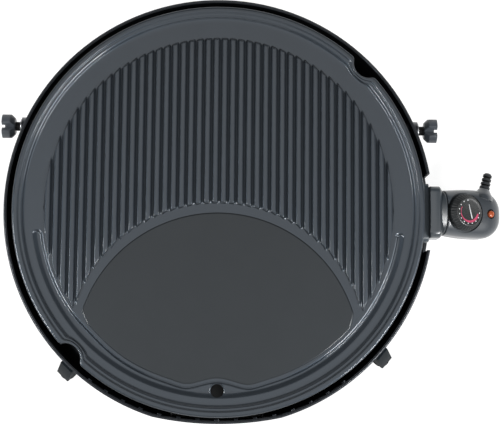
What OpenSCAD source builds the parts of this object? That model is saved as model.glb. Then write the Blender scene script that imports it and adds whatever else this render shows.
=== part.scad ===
// Round electric table grill: a ribbed cast plate with a plug-in thermostat
// controller stands in a shallow bowl on four splayed feet. A shallow drawer
// under the plate's drain catches the fat, and two thumbscrews at the rear
// corners clamp a lid or a wind guard.
// +X points to the controller, +Y to the back and +Z up. The origin is on the
// table under the centre of the plate. All sizes are in millimetres.

/* [Grill plate] */
// Diameter of the plate over its outer edge
plate_d = 440; // [410:5:480]
// Thickness of the cooking floor
plate_t = 5; // [4:0.5:7]
// Height of the lip above the cooking floor
lip_h = 5; // [4:0.5:7]
// Width of the whole stepped lip, from the floor to the edge
lip_w = 17.5; // [16:0.5:20]
// Thickness of the lip and of its outer skirt
lip_t = 4; // [3:0.5:5]
// Depth of the crease between the shoulder and the flange
crease_depth = 1.2; // [0.6:0.2:2]
// How far the ring under the gutter hangs below the cooking floor's underside
ring_drop = 3.5; // [2.5:0.5:5]
// Radial width of the ring under the gutter
ring_w = 18; // [16:1:22]

/* [Ribs] */
// Distance from rib to rib
rib_pitch = 8.9; // [8:0.1:12]
// Width of a rib at its foot
rib_w = 5.4; // [4:0.2:6]
// Width of a rib at its top
rib_top_w = 3; // [2:0.2:3.6]
// Height of a rib above the floor
rib_h = 3; // [2:0.5:4]
// Distance from the plate's edge to the rear ends of the ribs
rib_edge_gap = 33.5; // [31:0.5:45]
// Radius of the arc that bounds the smooth zone
smooth_zone_r = 159; // [140:1:170]
// How far the smooth zone's arc reaches past the plate's centre
smooth_zone_reach = 6; // [0:1:20]

/* [Gutter] */
// Width of the fat gutter
gutter_w = 11.3; // [9:0.1:12]
// Depth of the fat gutter
gutter_depth = 3.5; // [2:0.5:4]
// Flat land between the gutter and the lip
gutter_land = 2.2; // [1.5:0.1:4]
// Angle from the X axis at which the gutter ends, on either side
gutter_end_angle = 8.3; // [4:0.1:20]
// How far the gutter widens inwards at the drain
gutter_bay = 9.5; // [6:0.5:11]
// Radius of the gutter's bay at the drain
gutter_bay_r = 67; // [60:1:80]
// Diameter of the drain hole
drain_d = 14; // [8:0.5:16]
// Distance from the drain's axis to the plate's edge
drain_edge_gap = 28; // [27:0.5:30]
// Wall of the drain spout
spout_wall = 2; // [1.5:0.5:3]
// How far the drain spout hangs below the ring under the gutter
spout_drop = 12; // [6:1:15]

/* [Finger notches] */
// Width of a finger notch along the plate's edge
notch_w = 30; // [24:1:36]
// Depth of a finger notch
notch_depth = 10; // [6:0.5:11]
// Angle of the right finger notch from the X axis; the other lies opposite
notch_angle = 45; // [35:1:55]

/* [Bowl] */
// Height of the rim above the table
rim_h = 80; // [78:1:90]
// How far the plate's lip stands above the rim
plate_rise = 10; // [7:0.5:11]
// Gap between the plate's edge and the bowl's wall
rim_gap = 7; // [5:0.5:10]
// Thickness of the bowl's wall and floor
bowl_wall = 3; // [2.5:0.5:4]
// Height of the bowl's underside above the table
bowl_clear = 18; // [16:1:20]
// Radius of the bowl's lower corner
bowl_corner_r = 14; // [8:1:14]
// Radius of the flattened front, seen from above
front_r = 330; // [300:5:400]
// How far the front is flattened
front_cut = 3.2; // [2:0.2:5]
// Radius of the posts that carry the plate
post_r = 5; // [4:0.5:6]
// Radius of the pegs that centre the plate
peg_r = 2.5; // [2:0.5:3]

/* [Front vents] */
// Number of vent slots
vent_count = 14; // [8:2:16]
// Angle from slot to slot
vent_pitch = 5.2; // [4.8:0.1:5.6]
// Width of a vent slot
vent_w = 12; // [8:0.5:14]
// Height of a vent slot
vent_h = 7; // [4:0.5:9]
// Distance from the rim to the top of the vent slots
vent_drop = 8; // [6:0.5:10]
// Width of the small ribs between the slots
vent_rib_w = 4.3; // [2:0.1:5]
// How far the small ribs stand out of the inner wall
vent_rib_t = 2; // [1:0.5:3]

/* [Drip drawer] */
// Width of the drip drawer
drawer_w = 100; // [80:2:110]
// Depth of the drip drawer from front to back
drawer_l = 84; // [70:2:95]
// Height of the drip drawer
drawer_h = 22; // [16:1:24]
// Wall of the drip drawer
drawer_wall = 2; // [1.5:0.5:3]
// Clearance all round the drawer
drawer_gap = 0.5; // [0.4:0.1:1]
// Width of the finger notch in the drawer's front
pull_w = 46; // [36:2:60]
// Depth of the finger notch in the drawer's front
pull_h = 10; // [7:1:12]

/* [Feet] */
// Angle of the feet from the X axis
foot_angle = 43.5; // [40:0.5:50]
// How far the four feet are turned round together
foot_twist = 2.8; // [0:0.2:6]
// Width of a foot
foot_w = 16; // [12:1:20]
// How far a front foot reaches out past the rim
foot_reach = 18; // [8:1:22]
// How far a rear foot reaches out past the rim
rear_foot_reach = 12; // [6:1:22]
// Length of a foot's arm under the bowl
foot_arm = 44; // [40:1:60]
// Height of the top of a foot below the rim
foot_drop = 20; // [14:1:30]
// Thickness of the rubber pads
pad_h = 5; // [3:0.5:6]

/* [Side thumbscrews] */
// Distance of the thumbscrews behind the plate's centre
clamp_y = 92; // [80:1:100]
// Height of the thumbscrews below the rim
clamp_drop = 24; // [22:1:28]
// Diameter of the boss on the bowl's wall
boss_d = 20; // [17:1:24]
// How far the boss stands out of the wall on its axis
boss_stand = 5.2; // [4:0.2:8]
// Diameter of the thumbscrew's stud
stud_d = 6; // [5:0.5:6]
// Travel of the thumbscrew in one turn
thread_pitch = 1; // [0.8:0.1:1.5]
// Diameter of the washer
washer_d = 16; // [12:1:18]
// Thickness of the washer
washer_t = 1.4; // [1:0.2:2]
// Diameter of the grip's shank
shank_d = 9.8; // [9:0.2:12]
// Length of the grip's shank
shank_l = 5.8; // [4:0.2:8]
// Diameter over the grip's arms
grip_d = 27.5; // [24:0.5:32]
// Width of one arm of the grip
grip_arm_w = 11.5; // [9:0.5:13]
// Thickness of the grip
grip_t = 13.6; // [11:0.2:16]
// Angle at which the grips stand
grip_turn = 35; // [0:1:89]

/* [Heater] */
// Radius of the heating element's ring
element_ring_r = 140; // [130:1:150]
// Diameter of the heating element's tube
element_d = 8; // [6.5:0.5:8]
// Wall of the channel that holds the element
channel_wall = 3; // [2:0.5:4]
// Distance between the two terminal pins
pin_spacing = 30; // [26:1:34]
// Diameter of the terminal pins
pin_d = 6; // [5:0.5:6]
// Radius of the heat reflector
reflector_r = 181; // [170:1:182]
// Thickness of the reflector's sheet
reflector_t = 1; // [0.8:0.1:1.5]
// Distance from the rim to the reflector
reflector_drop = 22; // [20:1:23]

/* [Socket guard] */
// Width of the guard around the plate's terminals
guard_w = 63; // [60:1:70]
// Height of the guard
guard_h = 24; // [22:1:26]
// Wall of the guard
guard_wall = 2.2; // [1.5:0.1:3]
// How far the guard stands out past the plate's edge
guard_stand = 5.5; // [4:0.5:7]
// Corner radius of the guard
guard_corner_r = 5; // [3:0.5:6]

/* [Controller] */
// Width of the collar
collar_w = 56; // [54:1:62]
// Height of the collar
collar_h = 34; // [32:1:36]
// Length of the collar
collar_l = 13; // [10:0.5:16]
// Radius of the collar's long edges
collar_edge_r = 7; // [5:0.5:9]
// Angle at which the housing slopes down and outwards
housing_tilt = 22; // [12:1:26]
// Width of the housing
housing_w = 53; // [50:1:56]
// Length of the housing
housing_l = 70; // [66:1:76]
// Height of each half of the housing
shell_h = 17; // [16:1:19]
// Wall of the housing
shell_wall = 2.2; // [1.8:0.1:2.6]
// Radius of the housing's outer corners
housing_corner_r = 24; // [18:1:24]
// Diameter of the thermostat's probe
probe_d = 6; // [5:0.5:6]
// Length of the probe that enters the plate
probe_l = 44; // [36:1:50]

/* [Dial] */
// Diameter of the dial at its foot
dial_d = 40; // [36:1:41]
// Diameter of the dial at its face
dial_face_d = 36; // [30:1:36]
// Height of the dial
dial_h = 7.5; // [6:0.5:10]
// Distance of the dial's axis from the collar's seam
dial_x = 20.5; // [20.5:0.1:22]
// Diameter of the dial's shaft
shaft_d = 6; // [5:0.5:7]

/* [Lamp and cord outlet] */
// Distance of the indicator lamp from the collar's seam
lamp_x = 53; // [50:0.5:56]
// Diameter of the indicator lens
lens_d = 9; // [7:0.5:9]
// Bore of the strain relief
cord_bore_d = 6.2; // [5:0.1:6.4]
// Distance of the strain relief from the collar's seam
relief_x = 50; // [47:0.5:52]
// Length of the strain relief outside the housing
relief_l = 22; // [18:1:30]
// Lean of the strain relief away from the bowl
relief_lean = 16; // [0:1:20]

/* [Hidden] */
$fn = 64;

// Clearances
seat_gap = 0.3; // between parts of different bodies that rest near each other
fit_gap = 0.1; // around a part that is held in place
run_gap = 0.05; // radial, around a shaft or a pin that moves
thread_gap = 0.2; // across a screw, in the part that holds its thread
screw_gap = 0.4; // across a screw, in the part that it passes through
eps = 0.01; // overlap of forms that are joined
off_tangent = 0.05; // keeps two curved faces from only touching
cut = 1; // how far a cut runs past a face
long_cut = 60; // length of a cut that runs right through

// Plate
plate_r = plate_d / 2;
lip_top_z = rim_h + plate_rise;
floor_z = lip_top_z - lip_h;
floor_under_z = floor_z - plate_t;
ring_under_z = floor_under_z - ring_drop;
lip_foot_r = plate_r - lip_w;
gutter_out_r = lip_foot_r - gutter_land;
gutter_in_r = gutter_out_r - gutter_w;
gutter_mid_r = (gutter_in_r + gutter_out_r) / 2;
gutter_z = floor_z - gutter_depth;
ring_out_r = lip_foot_r + 2;
ring_in_r = ring_out_r - ring_w;
drain_y = -(plate_r - drain_edge_gap);
bay_y = -(gutter_in_r - gutter_bay) - gutter_bay_r;
notch_r = (pow(notch_w / 2, 2) + pow(notch_depth, 2)) / (2 * notch_depth);
notch_centre_r = plate_r - notch_depth + notch_r;
rib_field_r = plate_r - rib_edge_gap;
smooth_zone_y = smooth_zone_reach - smooth_zone_r;
rib_half_count = floor((rib_field_r - rib_w / 2) / rib_pitch + 0.5);

// Bowl
bowl_in_r = plate_r + rim_gap;
bowl_r = bowl_in_r + bowl_wall;
front_y = front_r + front_cut - bowl_r;
bowl_floor_z = bowl_clear + bowl_wall;
post_ring_r = (ring_in_r + lip_foot_r) / 2;
post_count = 8;
peg_count = 4;
peg_h = 2;
peg_gap = 0.4; // radial, so that the warm plate has room to grow
boss_z = rim_h - clamp_drop;
boss_inner_l = 11; // length of the boss inside the bowl's outer face
boss_face_x = sqrt(bowl_r * bowl_r - clamp_y * clamp_y) + boss_stand;

// Drip drawer
drawer_z = bowl_clear + bowl_corner_r + drawer_gap;
drawer_back_y = -(bowl_r - front_cut) + drawer_l;
rail_t = 3;

// Heater
reflector_z = rim_h - reflector_drop;
reflector_slot_w = pin_spacing + element_d + 10;
reflector_screw_d = 3;
reflector_screw_l = 10;
channel_depth = element_d + 2 * fit_gap;
channel_z = floor_under_z - channel_depth;
element_z = floor_under_z - fit_gap - element_d / 2;
channel_in_r = element_ring_r - element_d / 2 - fit_gap - channel_wall;
channel_out_r = element_ring_r + element_d / 2 + fit_gap + channel_wall;
clip_count = 6;
clip_t = 1.6;
clip_w = 12;
clip_boss_r = 4.5;
clip_screw_d = 3;
clip_screw_l = 9;
clip_screw_ring_r = channel_in_r - clip_boss_r + 1;

// Terminals, all on the controller's axis
guard_front_x = plate_r + guard_stand;
guard_back_x = ring_in_r + 8;
plug_z = ring_under_z - guard_h / 2;
insulator_r = 6.5;
insulator_l = 8;
insulator_back = 1; // how far an insulator stands out behind the guard
pin_back = 3; // how far a pin stands out behind the guard
pin_sunk = 4; // how far a pin ends inside the guard's mouth
pin_back_x = guard_back_x - pin_back;
pin_tip_x = guard_front_x - pin_sunk;
nose_back_x = guard_back_x + guard_wall + insulator_l - insulator_back;
contact_wall = 1.2;
probe_tip_x = nose_back_x - probe_l;
probe_boss_wall = 4;
probe_boss_in_x = probe_tip_x - cut - probe_boss_wall;
probe_boss_w = probe_d + 2 * probe_boss_wall;

// Controller
collar_x = guard_front_x + seat_gap;
collar_z = plug_z + 2.5;
seam_x = collar_x + collar_l + 0.7;
seam_z = collar_z + 3;

// Screw whose shank goes up from its head's seat at z = 0
screw_head_ratio = 1.9;
screw_head_h_ratio = 0.65;
module screw(d, l) {
    cylinder(h = l, d = d);
    translate([0, 0, -screw_head_h_ratio * d]) cylinder(h = screw_head_h_ratio * d, d = screw_head_ratio * d);
}

// One copy at the left and one at the right of the YZ plane
module both_sides() {
    children();
    mirror([1, 0, 0]) children();
}

// One child at each of the feet's corners
module at_foot(side, end) {
    rotate([0, 0, foot_twist + (end > 0 ? (side > 0 ? foot_angle : 180 - foot_angle)
        : (side > 0 ? -foot_angle : 180 + foot_angle))]) children();
}

// The bowl's outline seen from above, drawn in by a distance
module bowl_outline(inset) {
    intersection() {
        circle(r = bowl_r - inset);
        translate([0, front_y]) circle(r = front_r - inset);
    }
}

// The bowl as a filled shape, drawn in by a wall
module bowl_fill(inset, top) {
    corner = bowl_corner_r - inset;
    r = bowl_r - inset;
    z = bowl_clear + inset;
    intersection() {
        rotate_extrude() {
            translate([0, z]) square([r - corner, top - z]);
            translate([0, z + corner]) square([r, top - z - corner]);
            translate([r - corner, z + corner]) circle(r = corner);
        }
        translate([0, front_y, 0]) cylinder(h = top + cut, r = front_r - inset);
    }
}

/* Bowl */

cutout_side_gap = 13.2;
cutout_under_gap = 4;
cutout_half_w = collar_w / 2 + cutout_side_gap;
cutout_z = collar_z - collar_h / 2 - cutout_under_gap;
return_l = 8;
return_turn = 38;

// Short inward walls at both ends of the controller's cut-out
module cutout_returns() {
    end_x = sqrt(bowl_r * bowl_r - cutout_half_w * cutout_half_w);
    for (side = [-1, 1])
        translate([end_x - bowl_wall, side * cutout_half_w, cutout_z])
            rotate([0, 0, -side * (90 + return_turn)])
                mirror([0, side > 0 ? 0 : 1, 0])
                    cube([return_l, bowl_wall, rim_h - cutout_z]);
}

vent_in_r = bowl_r - 20;
vent_z = rim_h - vent_drop - vent_h;
module vent_slots() {
    for (k = [0 : vent_count - 1])
        rotate([0, 0, -90 + (k - (vent_count - 1) / 2) * vent_pitch])
            translate([vent_in_r, -vent_w / 2, vent_z]) cube([long_cut, vent_w, vent_h]);
}

module vent_ribs() {
    rib_top_gap = 1;
    rib_z = vent_z - 4;
    intersection() {
        translate([0, 0, rib_z]) linear_extrude(rim_h - rib_top_gap - rib_z)
            difference() {
                bowl_outline(bowl_wall / 2);
                bowl_outline(bowl_wall + vent_rib_t);
            }
        union() {
            for (k = [0 : vent_count])
                rotate([0, 0, -90 + (k - vent_count / 2) * vent_pitch])
                    translate([vent_in_r, -vent_rib_w / 2, 0]) cube([long_cut, vent_rib_w, rim_h]);
        }
    }
}

module plate_posts() {
    for (k = [0 : post_count - 1])
        rotate([0, 0, (k + 0.5) * 360 / post_count])
            translate([post_ring_r, 0, bowl_floor_z - eps]) {
                cylinder(h = ring_under_z - bowl_floor_z + eps, r = post_r);
                if (k < peg_count)
                    cylinder(h = ring_under_z - bowl_floor_z + peg_h, r = peg_r);
            }
}

reflector_post_ring_r = 120;
reflector_post_r = 6;
module reflector_posts() {
    for (k = [0 : 3])
        rotate([0, 0, 45 + 90 * k])
            translate([reflector_post_ring_r, 0, bowl_floor_z - eps])
                cylinder(h = reflector_z - bowl_floor_z + eps, r = reflector_post_r);
}

module drawer_rails() {
    shelf_w = 8;
    stop_h = 6;
    rail_x = drawer_w / 2 + drawer_gap;
    rail_y = -bowl_r + 20;
    rail_l = drawer_back_y + 4 - rail_y;
    both_sides()
        translate([rail_x - shelf_w, rail_y, bowl_floor_z - eps]) {
            cube([shelf_w + rail_t, rail_l, drawer_z - drawer_gap - bowl_floor_z + eps]);
            translate([shelf_w, 0, 0]) cube([rail_t, rail_l, drawer_z + drawer_h / 2 - bowl_floor_z]);
        }
    translate([-rail_x, drawer_back_y + drawer_gap, bowl_floor_z - eps])
        cube([2 * rail_x, rail_t, drawer_z + stop_h - bowl_floor_z]);
}

module clamp_bosses() {
    both_sides()
        translate([boss_face_x, clamp_y, boss_z]) rotate([0, -90, 0])
            cylinder(h = boss_stand + boss_inner_l, d = boss_d);
}

nut_flats = 10;
nut_turns = 5;
nut_t = nut_turns * thread_pitch;
nut_inner_x = boss_face_x - boss_stand - boss_inner_l;
module clamp_holes() {
    both_sides()
        translate([nut_inner_x, clamp_y, boss_z]) rotate([0, 90, 0]) {
            translate([0, 0, -eps]) cylinder(h = long_cut, d = stud_d + 2 * seat_gap);
            translate([0, 0, -eps])
                cylinder(h = nut_t + fit_gap, r = (nut_flats / 2 + fit_gap) / cos(30), $fn = 6);
        }
}

foot_screw_d = 4;
foot_screw_r = bowl_r - bowl_corner_r - 14;
module base_bowl() {
    color("#2e3033") difference() {
        union() {
            difference() {
                bowl_fill(0, rim_h);
                bowl_fill(bowl_wall, rim_h + cut);
            }
            vent_ribs();
            plate_posts();
            reflector_posts();
            drawer_rails();
            cutout_returns();
            clamp_bosses();
        }
        vent_slots();
        clamp_holes();
        // Way through the rim for the controller
        translate([bowl_in_r - long_cut / 2, -cutout_half_w, cutout_z])
            cube([long_cut, 2 * cutout_half_w, rim_h]);
        // Way through the front for the drawer
        translate([-drawer_w / 2 - drawer_gap, -bowl_r - cut, drawer_z - drawer_gap])
            cube([drawer_w + 2 * drawer_gap, drawer_l / 3, drawer_h + 2 * drawer_gap]);
        // Screw holes for the feet and the reflector
        for (side = [-1, 1], end = [-1, 1])
            at_foot(side, end) translate([foot_screw_r, 0, bowl_clear - cut])
                cylinder(h = long_cut, d = foot_screw_d + thread_gap);
        for (k = [0 : 3])
            rotate([0, 0, 45 + 90 * k])
                translate([reflector_post_ring_r, 0, reflector_z - reflector_screw_l - cut])
                    cylinder(h = long_cut, d = reflector_screw_d + thread_gap);
    }
}

module heat_reflector() {
    brim_w = 12;
    brim_h = 7;
    flat_r = reflector_r - brim_w;
    slot_end_gap = 5;
    color("#b9bcc0") difference() {
        translate([0, 0, reflector_z]) rotate_extrude()
            polygon([
                [0, 0], [flat_r, 0], [reflector_r, brim_h], [reflector_r, brim_h + reflector_t],
                [flat_r, reflector_t], [0, reflector_t]
            ]);
        for (k = [0 : 3])
            rotate([0, 0, 45 + 90 * k])
                translate([reflector_post_ring_r, 0, reflector_z - cut])
                    cylinder(h = long_cut, d = reflector_screw_d + screw_gap);
        // Room for the probe's boss and the element's legs
        translate([probe_boss_in_x - slot_end_gap, -reflector_slot_w / 2, 0])
            cube([reflector_r, reflector_slot_w, rim_h]);
    }
}

module reflector_screws() {
    color("#c8cacc")
        for (k = [0 : 3])
            rotate([0, 0, 45 + 90 * k])
                translate([reflector_post_ring_r, 0, reflector_z + reflector_t]) rotate([180, 0, 0])
                    screw(reflector_screw_d, reflector_screw_l);
}

/* Drip drawer */

module drip_drawer() {
    front_t = drawer_wall + 1;
    color("#26282b") difference() {
        intersection() {
            translate([-drawer_w / 2, -bowl_r, drawer_z])
                cube([drawer_w, drawer_back_y + bowl_r, drawer_h]);
            bowl_fill(0, rim_h);
        }
        intersection() {
            translate([-drawer_w / 2 + drawer_wall, -bowl_r, drawer_z + drawer_wall])
                cube([drawer_w - 2 * drawer_wall, drawer_back_y + bowl_r - drawer_wall, drawer_h]);
            translate([0, front_y, 0]) cylinder(h = rim_h, r = front_r - front_t);
        }
        translate([-pull_w / 2, -bowl_r - cut, drawer_z + drawer_h - pull_h])
            cube([pull_w, front_cut + 3 * front_t, pull_h + cut]);
    }
}

/* Feet */

foot_screw_z = bowl_clear - 5;
foot_arm_t = 8;
foot_toe_h = 9;
foot_shelf_w = 4; // flat top of a foot outside the bowl's wall

module foot(reach) {
    outer_r = bowl_r + reach;
    inner_r = bowl_r - foot_arm;
    top_z = rim_h - foot_drop;
    difference() {
        rotate([90, 0, 0]) translate([0, 0, -foot_w / 2]) linear_extrude(foot_w)
            polygon([
                [inner_r, bowl_clear - fit_gap], [inner_r, bowl_clear - foot_arm_t],
                [bowl_r - 2 * foot_arm_t, bowl_clear - foot_arm_t],
                [bowl_r - foot_shelf_w, pad_h], [outer_r, pad_h], [outer_r, pad_h + foot_toe_h],
                [bowl_r + foot_shelf_w, top_z], [bowl_r - foot_arm_t, top_z],
                [bowl_r - bowl_corner_r - foot_shelf_w, bowl_clear + foot_arm_t]
            ]);
        bowl_fill(-fit_gap, rim_h);
        translate([foot_screw_r, 0, 0]) {
            cylinder(h = long_cut, d = foot_screw_d + screw_gap);
            cylinder(h = foot_screw_z, d = screw_head_ratio * foot_screw_d + 3 * screw_gap);
        }
    }
}

pad_over = 0.8; // how far a pad stands out past its foot
module pad(reach) {
    outer_r = bowl_r + reach + 2 * pad_over;
    inner_r = bowl_r - foot_shelf_w;
    round_r = foot_w / 2 + pad_over;
    translate([inner_r, -round_r, 0]) cube([outer_r - round_r - inner_r, 2 * round_r, pad_h]);
    translate([outer_r - round_r, 0, 0]) cylinder(h = pad_h, r = round_r);
}

module foot_front_left() { color("#1d1f21") at_foot(-1, -1) foot(foot_reach); }
module foot_front_right() { color("#1d1f21") at_foot(1, -1) foot(foot_reach); }
module foot_rear_left() { color("#1d1f21") at_foot(-1, 1) foot(rear_foot_reach); }
module foot_rear_right() { color("#1d1f21") at_foot(1, 1) foot(rear_foot_reach); }

module pad_front_left() { color("#0d0d0e") at_foot(-1, -1) pad(foot_reach); }
module pad_front_right() { color("#0d0d0e") at_foot(1, -1) pad(foot_reach); }
module pad_rear_left() { color("#0d0d0e") at_foot(-1, 1) pad(rear_foot_reach); }
module pad_rear_right() { color("#0d0d0e") at_foot(1, 1) pad(rear_foot_reach); }

module foot_screws() {
    color("#8d9094")
        for (side = [-1, 1], end = [-1, 1])
            at_foot(side, end) translate([foot_screw_r, 0, foot_screw_z])
                screw(foot_screw_d, bowl_floor_z - foot_screw_z);
}

/* Side thumbscrews, drawn along +Z from the boss's face and then laid along X */

washer_z = fit_gap;
shank_z = washer_z + washer_t + fit_gap;
grip_z = shank_z + shank_l;
grip_recess = 3.3;
stud_cover = 2; // floor of the grip's recess over the end of the stud
stud_end_z = grip_z + grip_t - grip_recess - stud_cover;

module on_clamp(side) {
    mirror([side < 0 ? 1 : 0, 0, 0])
        translate([boss_face_x, clamp_y, boss_z]) rotate([0, 90, 0]) children();
}

module clamp_nut() {
    depth = boss_face_x - nut_inner_x;
    translate([0, 0, -depth]) difference() {
        cylinder(h = nut_t, r = nut_flats / 2 / cos(30), $fn = 6);
        translate([0, 0, -cut]) cylinder(h = nut_t + 2 * cut, r = stud_d / 2 + run_gap);
    }
}

module clamp_washer() {
    translate([0, 0, washer_z]) difference() {
        cylinder(h = washer_t, d = washer_d);
        translate([0, 0, -cut]) cylinder(h = washer_t + 2 * cut, r = stud_d / 2 + 4 * run_gap);
    }
}

module clamp_stud() {
    tip_over = 1; // how far the stud stands out of its nut
    tip_z = nut_inner_x - boss_face_x - tip_over;
    translate([0, 0, tip_z]) cylinder(h = stud_end_z - tip_z, d = stud_d);
}

module clamp_grip() {
    taper = 5;
    recess_wall = 4.2;
    shoulder_r = grip_d / 2 - taper;
    difference() {
        union() {
            translate([0, 0, shank_z]) cylinder(h = shank_l + eps, d = shank_d);
            intersection() {
                translate([0, 0, grip_z]) rotate_extrude()
                    polygon([
                        [0, 0], [shoulder_r, 0], [grip_d / 2, taper], [grip_d / 2, grip_t], [0, grip_t]
                    ]);
                for (a = [0, 90])
                    rotate([0, 0, a - grip_turn]) translate([-grip_d, -grip_arm_w / 2, 0])
                        cube([2 * grip_d, grip_arm_w, 2 * grip_z + grip_t]);
            }
        }
        translate([0, 0, shank_z - cut])
            cylinder(h = stud_end_z - shank_z + cut + fit_gap, r = stud_d / 2 + run_gap);
        translate([0, 0, grip_z + grip_t - grip_recess])
            cylinder(h = grip_recess + cut, r = grip_d / 2 - recess_wall);
    }
}

module left_clamp_nut() { color("#b0b2b4") on_clamp(-1) clamp_nut(); }
module left_clamp_washer() { color("#c8cacc") on_clamp(-1) clamp_washer(); }
module left_clamp_stud() { color("#b0b2b4") on_clamp(-1) clamp_stud(); }
module left_clamp_grip() { color("#3a3c40") on_clamp(-1) clamp_grip(); }
module right_clamp_nut() { color("#b0b2b4") on_clamp(1) clamp_nut(); }
module right_clamp_washer() { color("#c8cacc") on_clamp(1) clamp_washer(); }
module right_clamp_stud() { color("#b0b2b4") on_clamp(1) clamp_stud(); }
module right_clamp_grip() { color("#3a3c40") on_clamp(1) clamp_grip(); }

/* Grill plate */

// The lip rises to a flat shoulder, dips into a crease and goes on as a flange
rise_w = 6;
shoulder_w = 3;
crease_side_w = 0.6;
crease_w = 1.3;
flange_z = lip_top_z - 0.6;
edge_bevel = 1.2;
module plate_section() {
    rise_r = lip_foot_r + rise_w;
    shoulder_r = rise_r + shoulder_w;
    crease_r = shoulder_r + crease_side_w;
    crease_end_r = crease_r + crease_w;
    crease_z = lip_top_z - crease_depth;
    lip_under_z = flange_z - lip_t;
    polygon([
        [0, floor_z], [lip_foot_r, floor_z], [rise_r, lip_top_z], [shoulder_r, lip_top_z],
        [crease_r, crease_z], [crease_end_r, crease_z], [crease_end_r + crease_side_w, flange_z],
        [plate_r - edge_bevel, flange_z], [plate_r, flange_z - edge_bevel],
        [plate_r, ring_under_z], [plate_r - lip_t, ring_under_z],
        [plate_r - lip_t, lip_under_z], [rise_r + crease_side_w, lip_under_z],
        [ring_out_r, floor_under_z],
        [ring_out_r, ring_under_z], [ring_in_r, ring_under_z],
        [ring_in_r - ring_drop, floor_under_z], [0, floor_under_z]
    ]);
}

module ribs() {
    rib_sink = 1; // how deep a rib's foot lies in the floor
    intersection() {
        union() {
            for (side = [-1, 1], k = [0 : rib_half_count - 1])
                translate([side * (k + 0.5) * rib_pitch, plate_r, floor_z]) rotate([90, 0, 0])
                    linear_extrude(plate_d)
                        polygon([
                            [-rib_w / 2, -rib_sink], [rib_w / 2, -rib_sink], [rib_w / 2, 0],
                            [rib_top_w / 2, rib_h], [-rib_top_w / 2, rib_h], [-rib_w / 2, 0]
                        ]);
        }
        translate([0, 0, floor_z - rib_sink]) linear_extrude(rib_sink + rib_h + cut) difference() {
            intersection() {
                circle(r = rib_field_r);
                translate([-plate_r, -plate_r / 2]) square([plate_d, plate_d]);
            }
            translate([0, smooth_zone_y]) circle(r = smooth_zone_r);
        }
    }
}

module gutter_cut() {
    translate([0, 0, gutter_z]) {
        rotate([0, 0, 180 + gutter_end_angle]) rotate_extrude(angle = 180 - 2 * gutter_end_angle)
            translate([gutter_in_r, 0]) square([gutter_w, gutter_depth + cut]);
        for (a = [-gutter_end_angle, 180 + gutter_end_angle])
            rotate([0, 0, a]) translate([gutter_mid_r, 0, 0])
                cylinder(h = gutter_depth + cut, d = gutter_w - 2 * off_tangent);
        intersection() {
            cylinder(h = gutter_depth + cut, r = gutter_out_r - off_tangent);
            translate([0, bay_y, 0]) cylinder(h = gutter_depth + cut, r = gutter_bay_r);
        }
    }
}

module element_channel() {
    translate([0, 0, channel_z]) difference() {
        rotate_extrude() {
            translate([channel_in_r, 0]) square([channel_wall, channel_depth + eps]);
            translate([channel_out_r - channel_wall, 0]) square([channel_wall, channel_depth + eps]);
        }
        // Way out for the element's legs
        translate([0, -pin_spacing / 2 - element_d, -cut])
            cube([plate_r, pin_spacing + 2 * element_d, channel_depth + cut]);
    }
    for (k = [0 : clip_count - 1])
        rotate([0, 0, (k + 0.5) * 360 / clip_count])
            translate([clip_screw_ring_r, 0, channel_z]) cylinder(h = channel_depth + eps, r = clip_boss_r);
}

guard_screw_d = 4;
guard_screw_l = 7;
guard_screw_x = ring_in_r - 9;
guard_screw_y = guard_w / 2 - 7;
module plug_bosses() {
    screw_boss_wall = 3;
    translate([probe_boss_in_x, -probe_boss_w / 2, plug_z - probe_boss_w / 2])
        cube([
            ring_in_r + probe_boss_wall - probe_boss_in_x, probe_boss_w,
            floor_under_z - plug_z + probe_boss_w / 2 + eps
        ]);
    for (side = [-1, 1])
        translate([guard_screw_x, side * guard_screw_y, ring_under_z])
            cylinder(h = ring_drop + eps, r = guard_screw_d / 2 + screw_boss_wall);
}

module grill_plate() {
    color("#45484c") difference() {
        union() {
            rotate_extrude() plate_section();
            // Wall of the finger notches
            for (a = [notch_angle, notch_angle + 180])
                rotate([0, 0, a]) intersection() {
                    translate([notch_centre_r, 0, ring_under_z])
                        cylinder(h = flange_z - ring_under_z, r = notch_r + 2 * lip_t);
                    cylinder(h = lip_top_z, r = plate_r - edge_bevel / 2);
                }
            ribs();
            element_channel();
            plug_bosses();
            // Drain spout
            translate([0, drain_y, ring_under_z - spout_drop])
                cylinder(h = floor_under_z - ring_under_z + spout_drop, r = drain_d / 2 + spout_wall);
        }
        gutter_cut();
        for (a = [notch_angle, notch_angle + 180])
            rotate([0, 0, a]) translate([notch_centre_r, 0, ring_under_z - cut])
                cylinder(h = lip_top_z, r = notch_r);
        translate([0, drain_y, 0]) cylinder(h = lip_top_z, d = drain_d);
        // Bore for the probe
        translate([probe_tip_x - cut, 0, plug_z]) rotate([0, 90, 0])
            cylinder(h = long_cut, r = probe_d / 2 + run_gap);
        // Screw holes for the guard and the element clips
        for (side = [-1, 1])
            translate([guard_screw_x, side * guard_screw_y, ring_under_z - guard_wall])
                cylinder(h = guard_screw_l + seat_gap, d = guard_screw_d + thread_gap);
        for (k = [0 : clip_count - 1])
            rotate([0, 0, (k + 0.5) * 360 / clip_count])
                translate([clip_screw_ring_r, 0, channel_z - clip_t])
                    cylinder(h = clip_screw_l + seat_gap, d = clip_screw_d + thread_gap);
        // Peg holes
        for (k = [0 : peg_count - 1])
            rotate([0, 0, (k + 0.5) * 360 / post_count])
                translate([post_ring_r, 0, ring_under_z - cut])
                    cylinder(h = cut + peg_h + peg_gap, r = peg_r + peg_gap);
    }
}

/* Heater */

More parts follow.
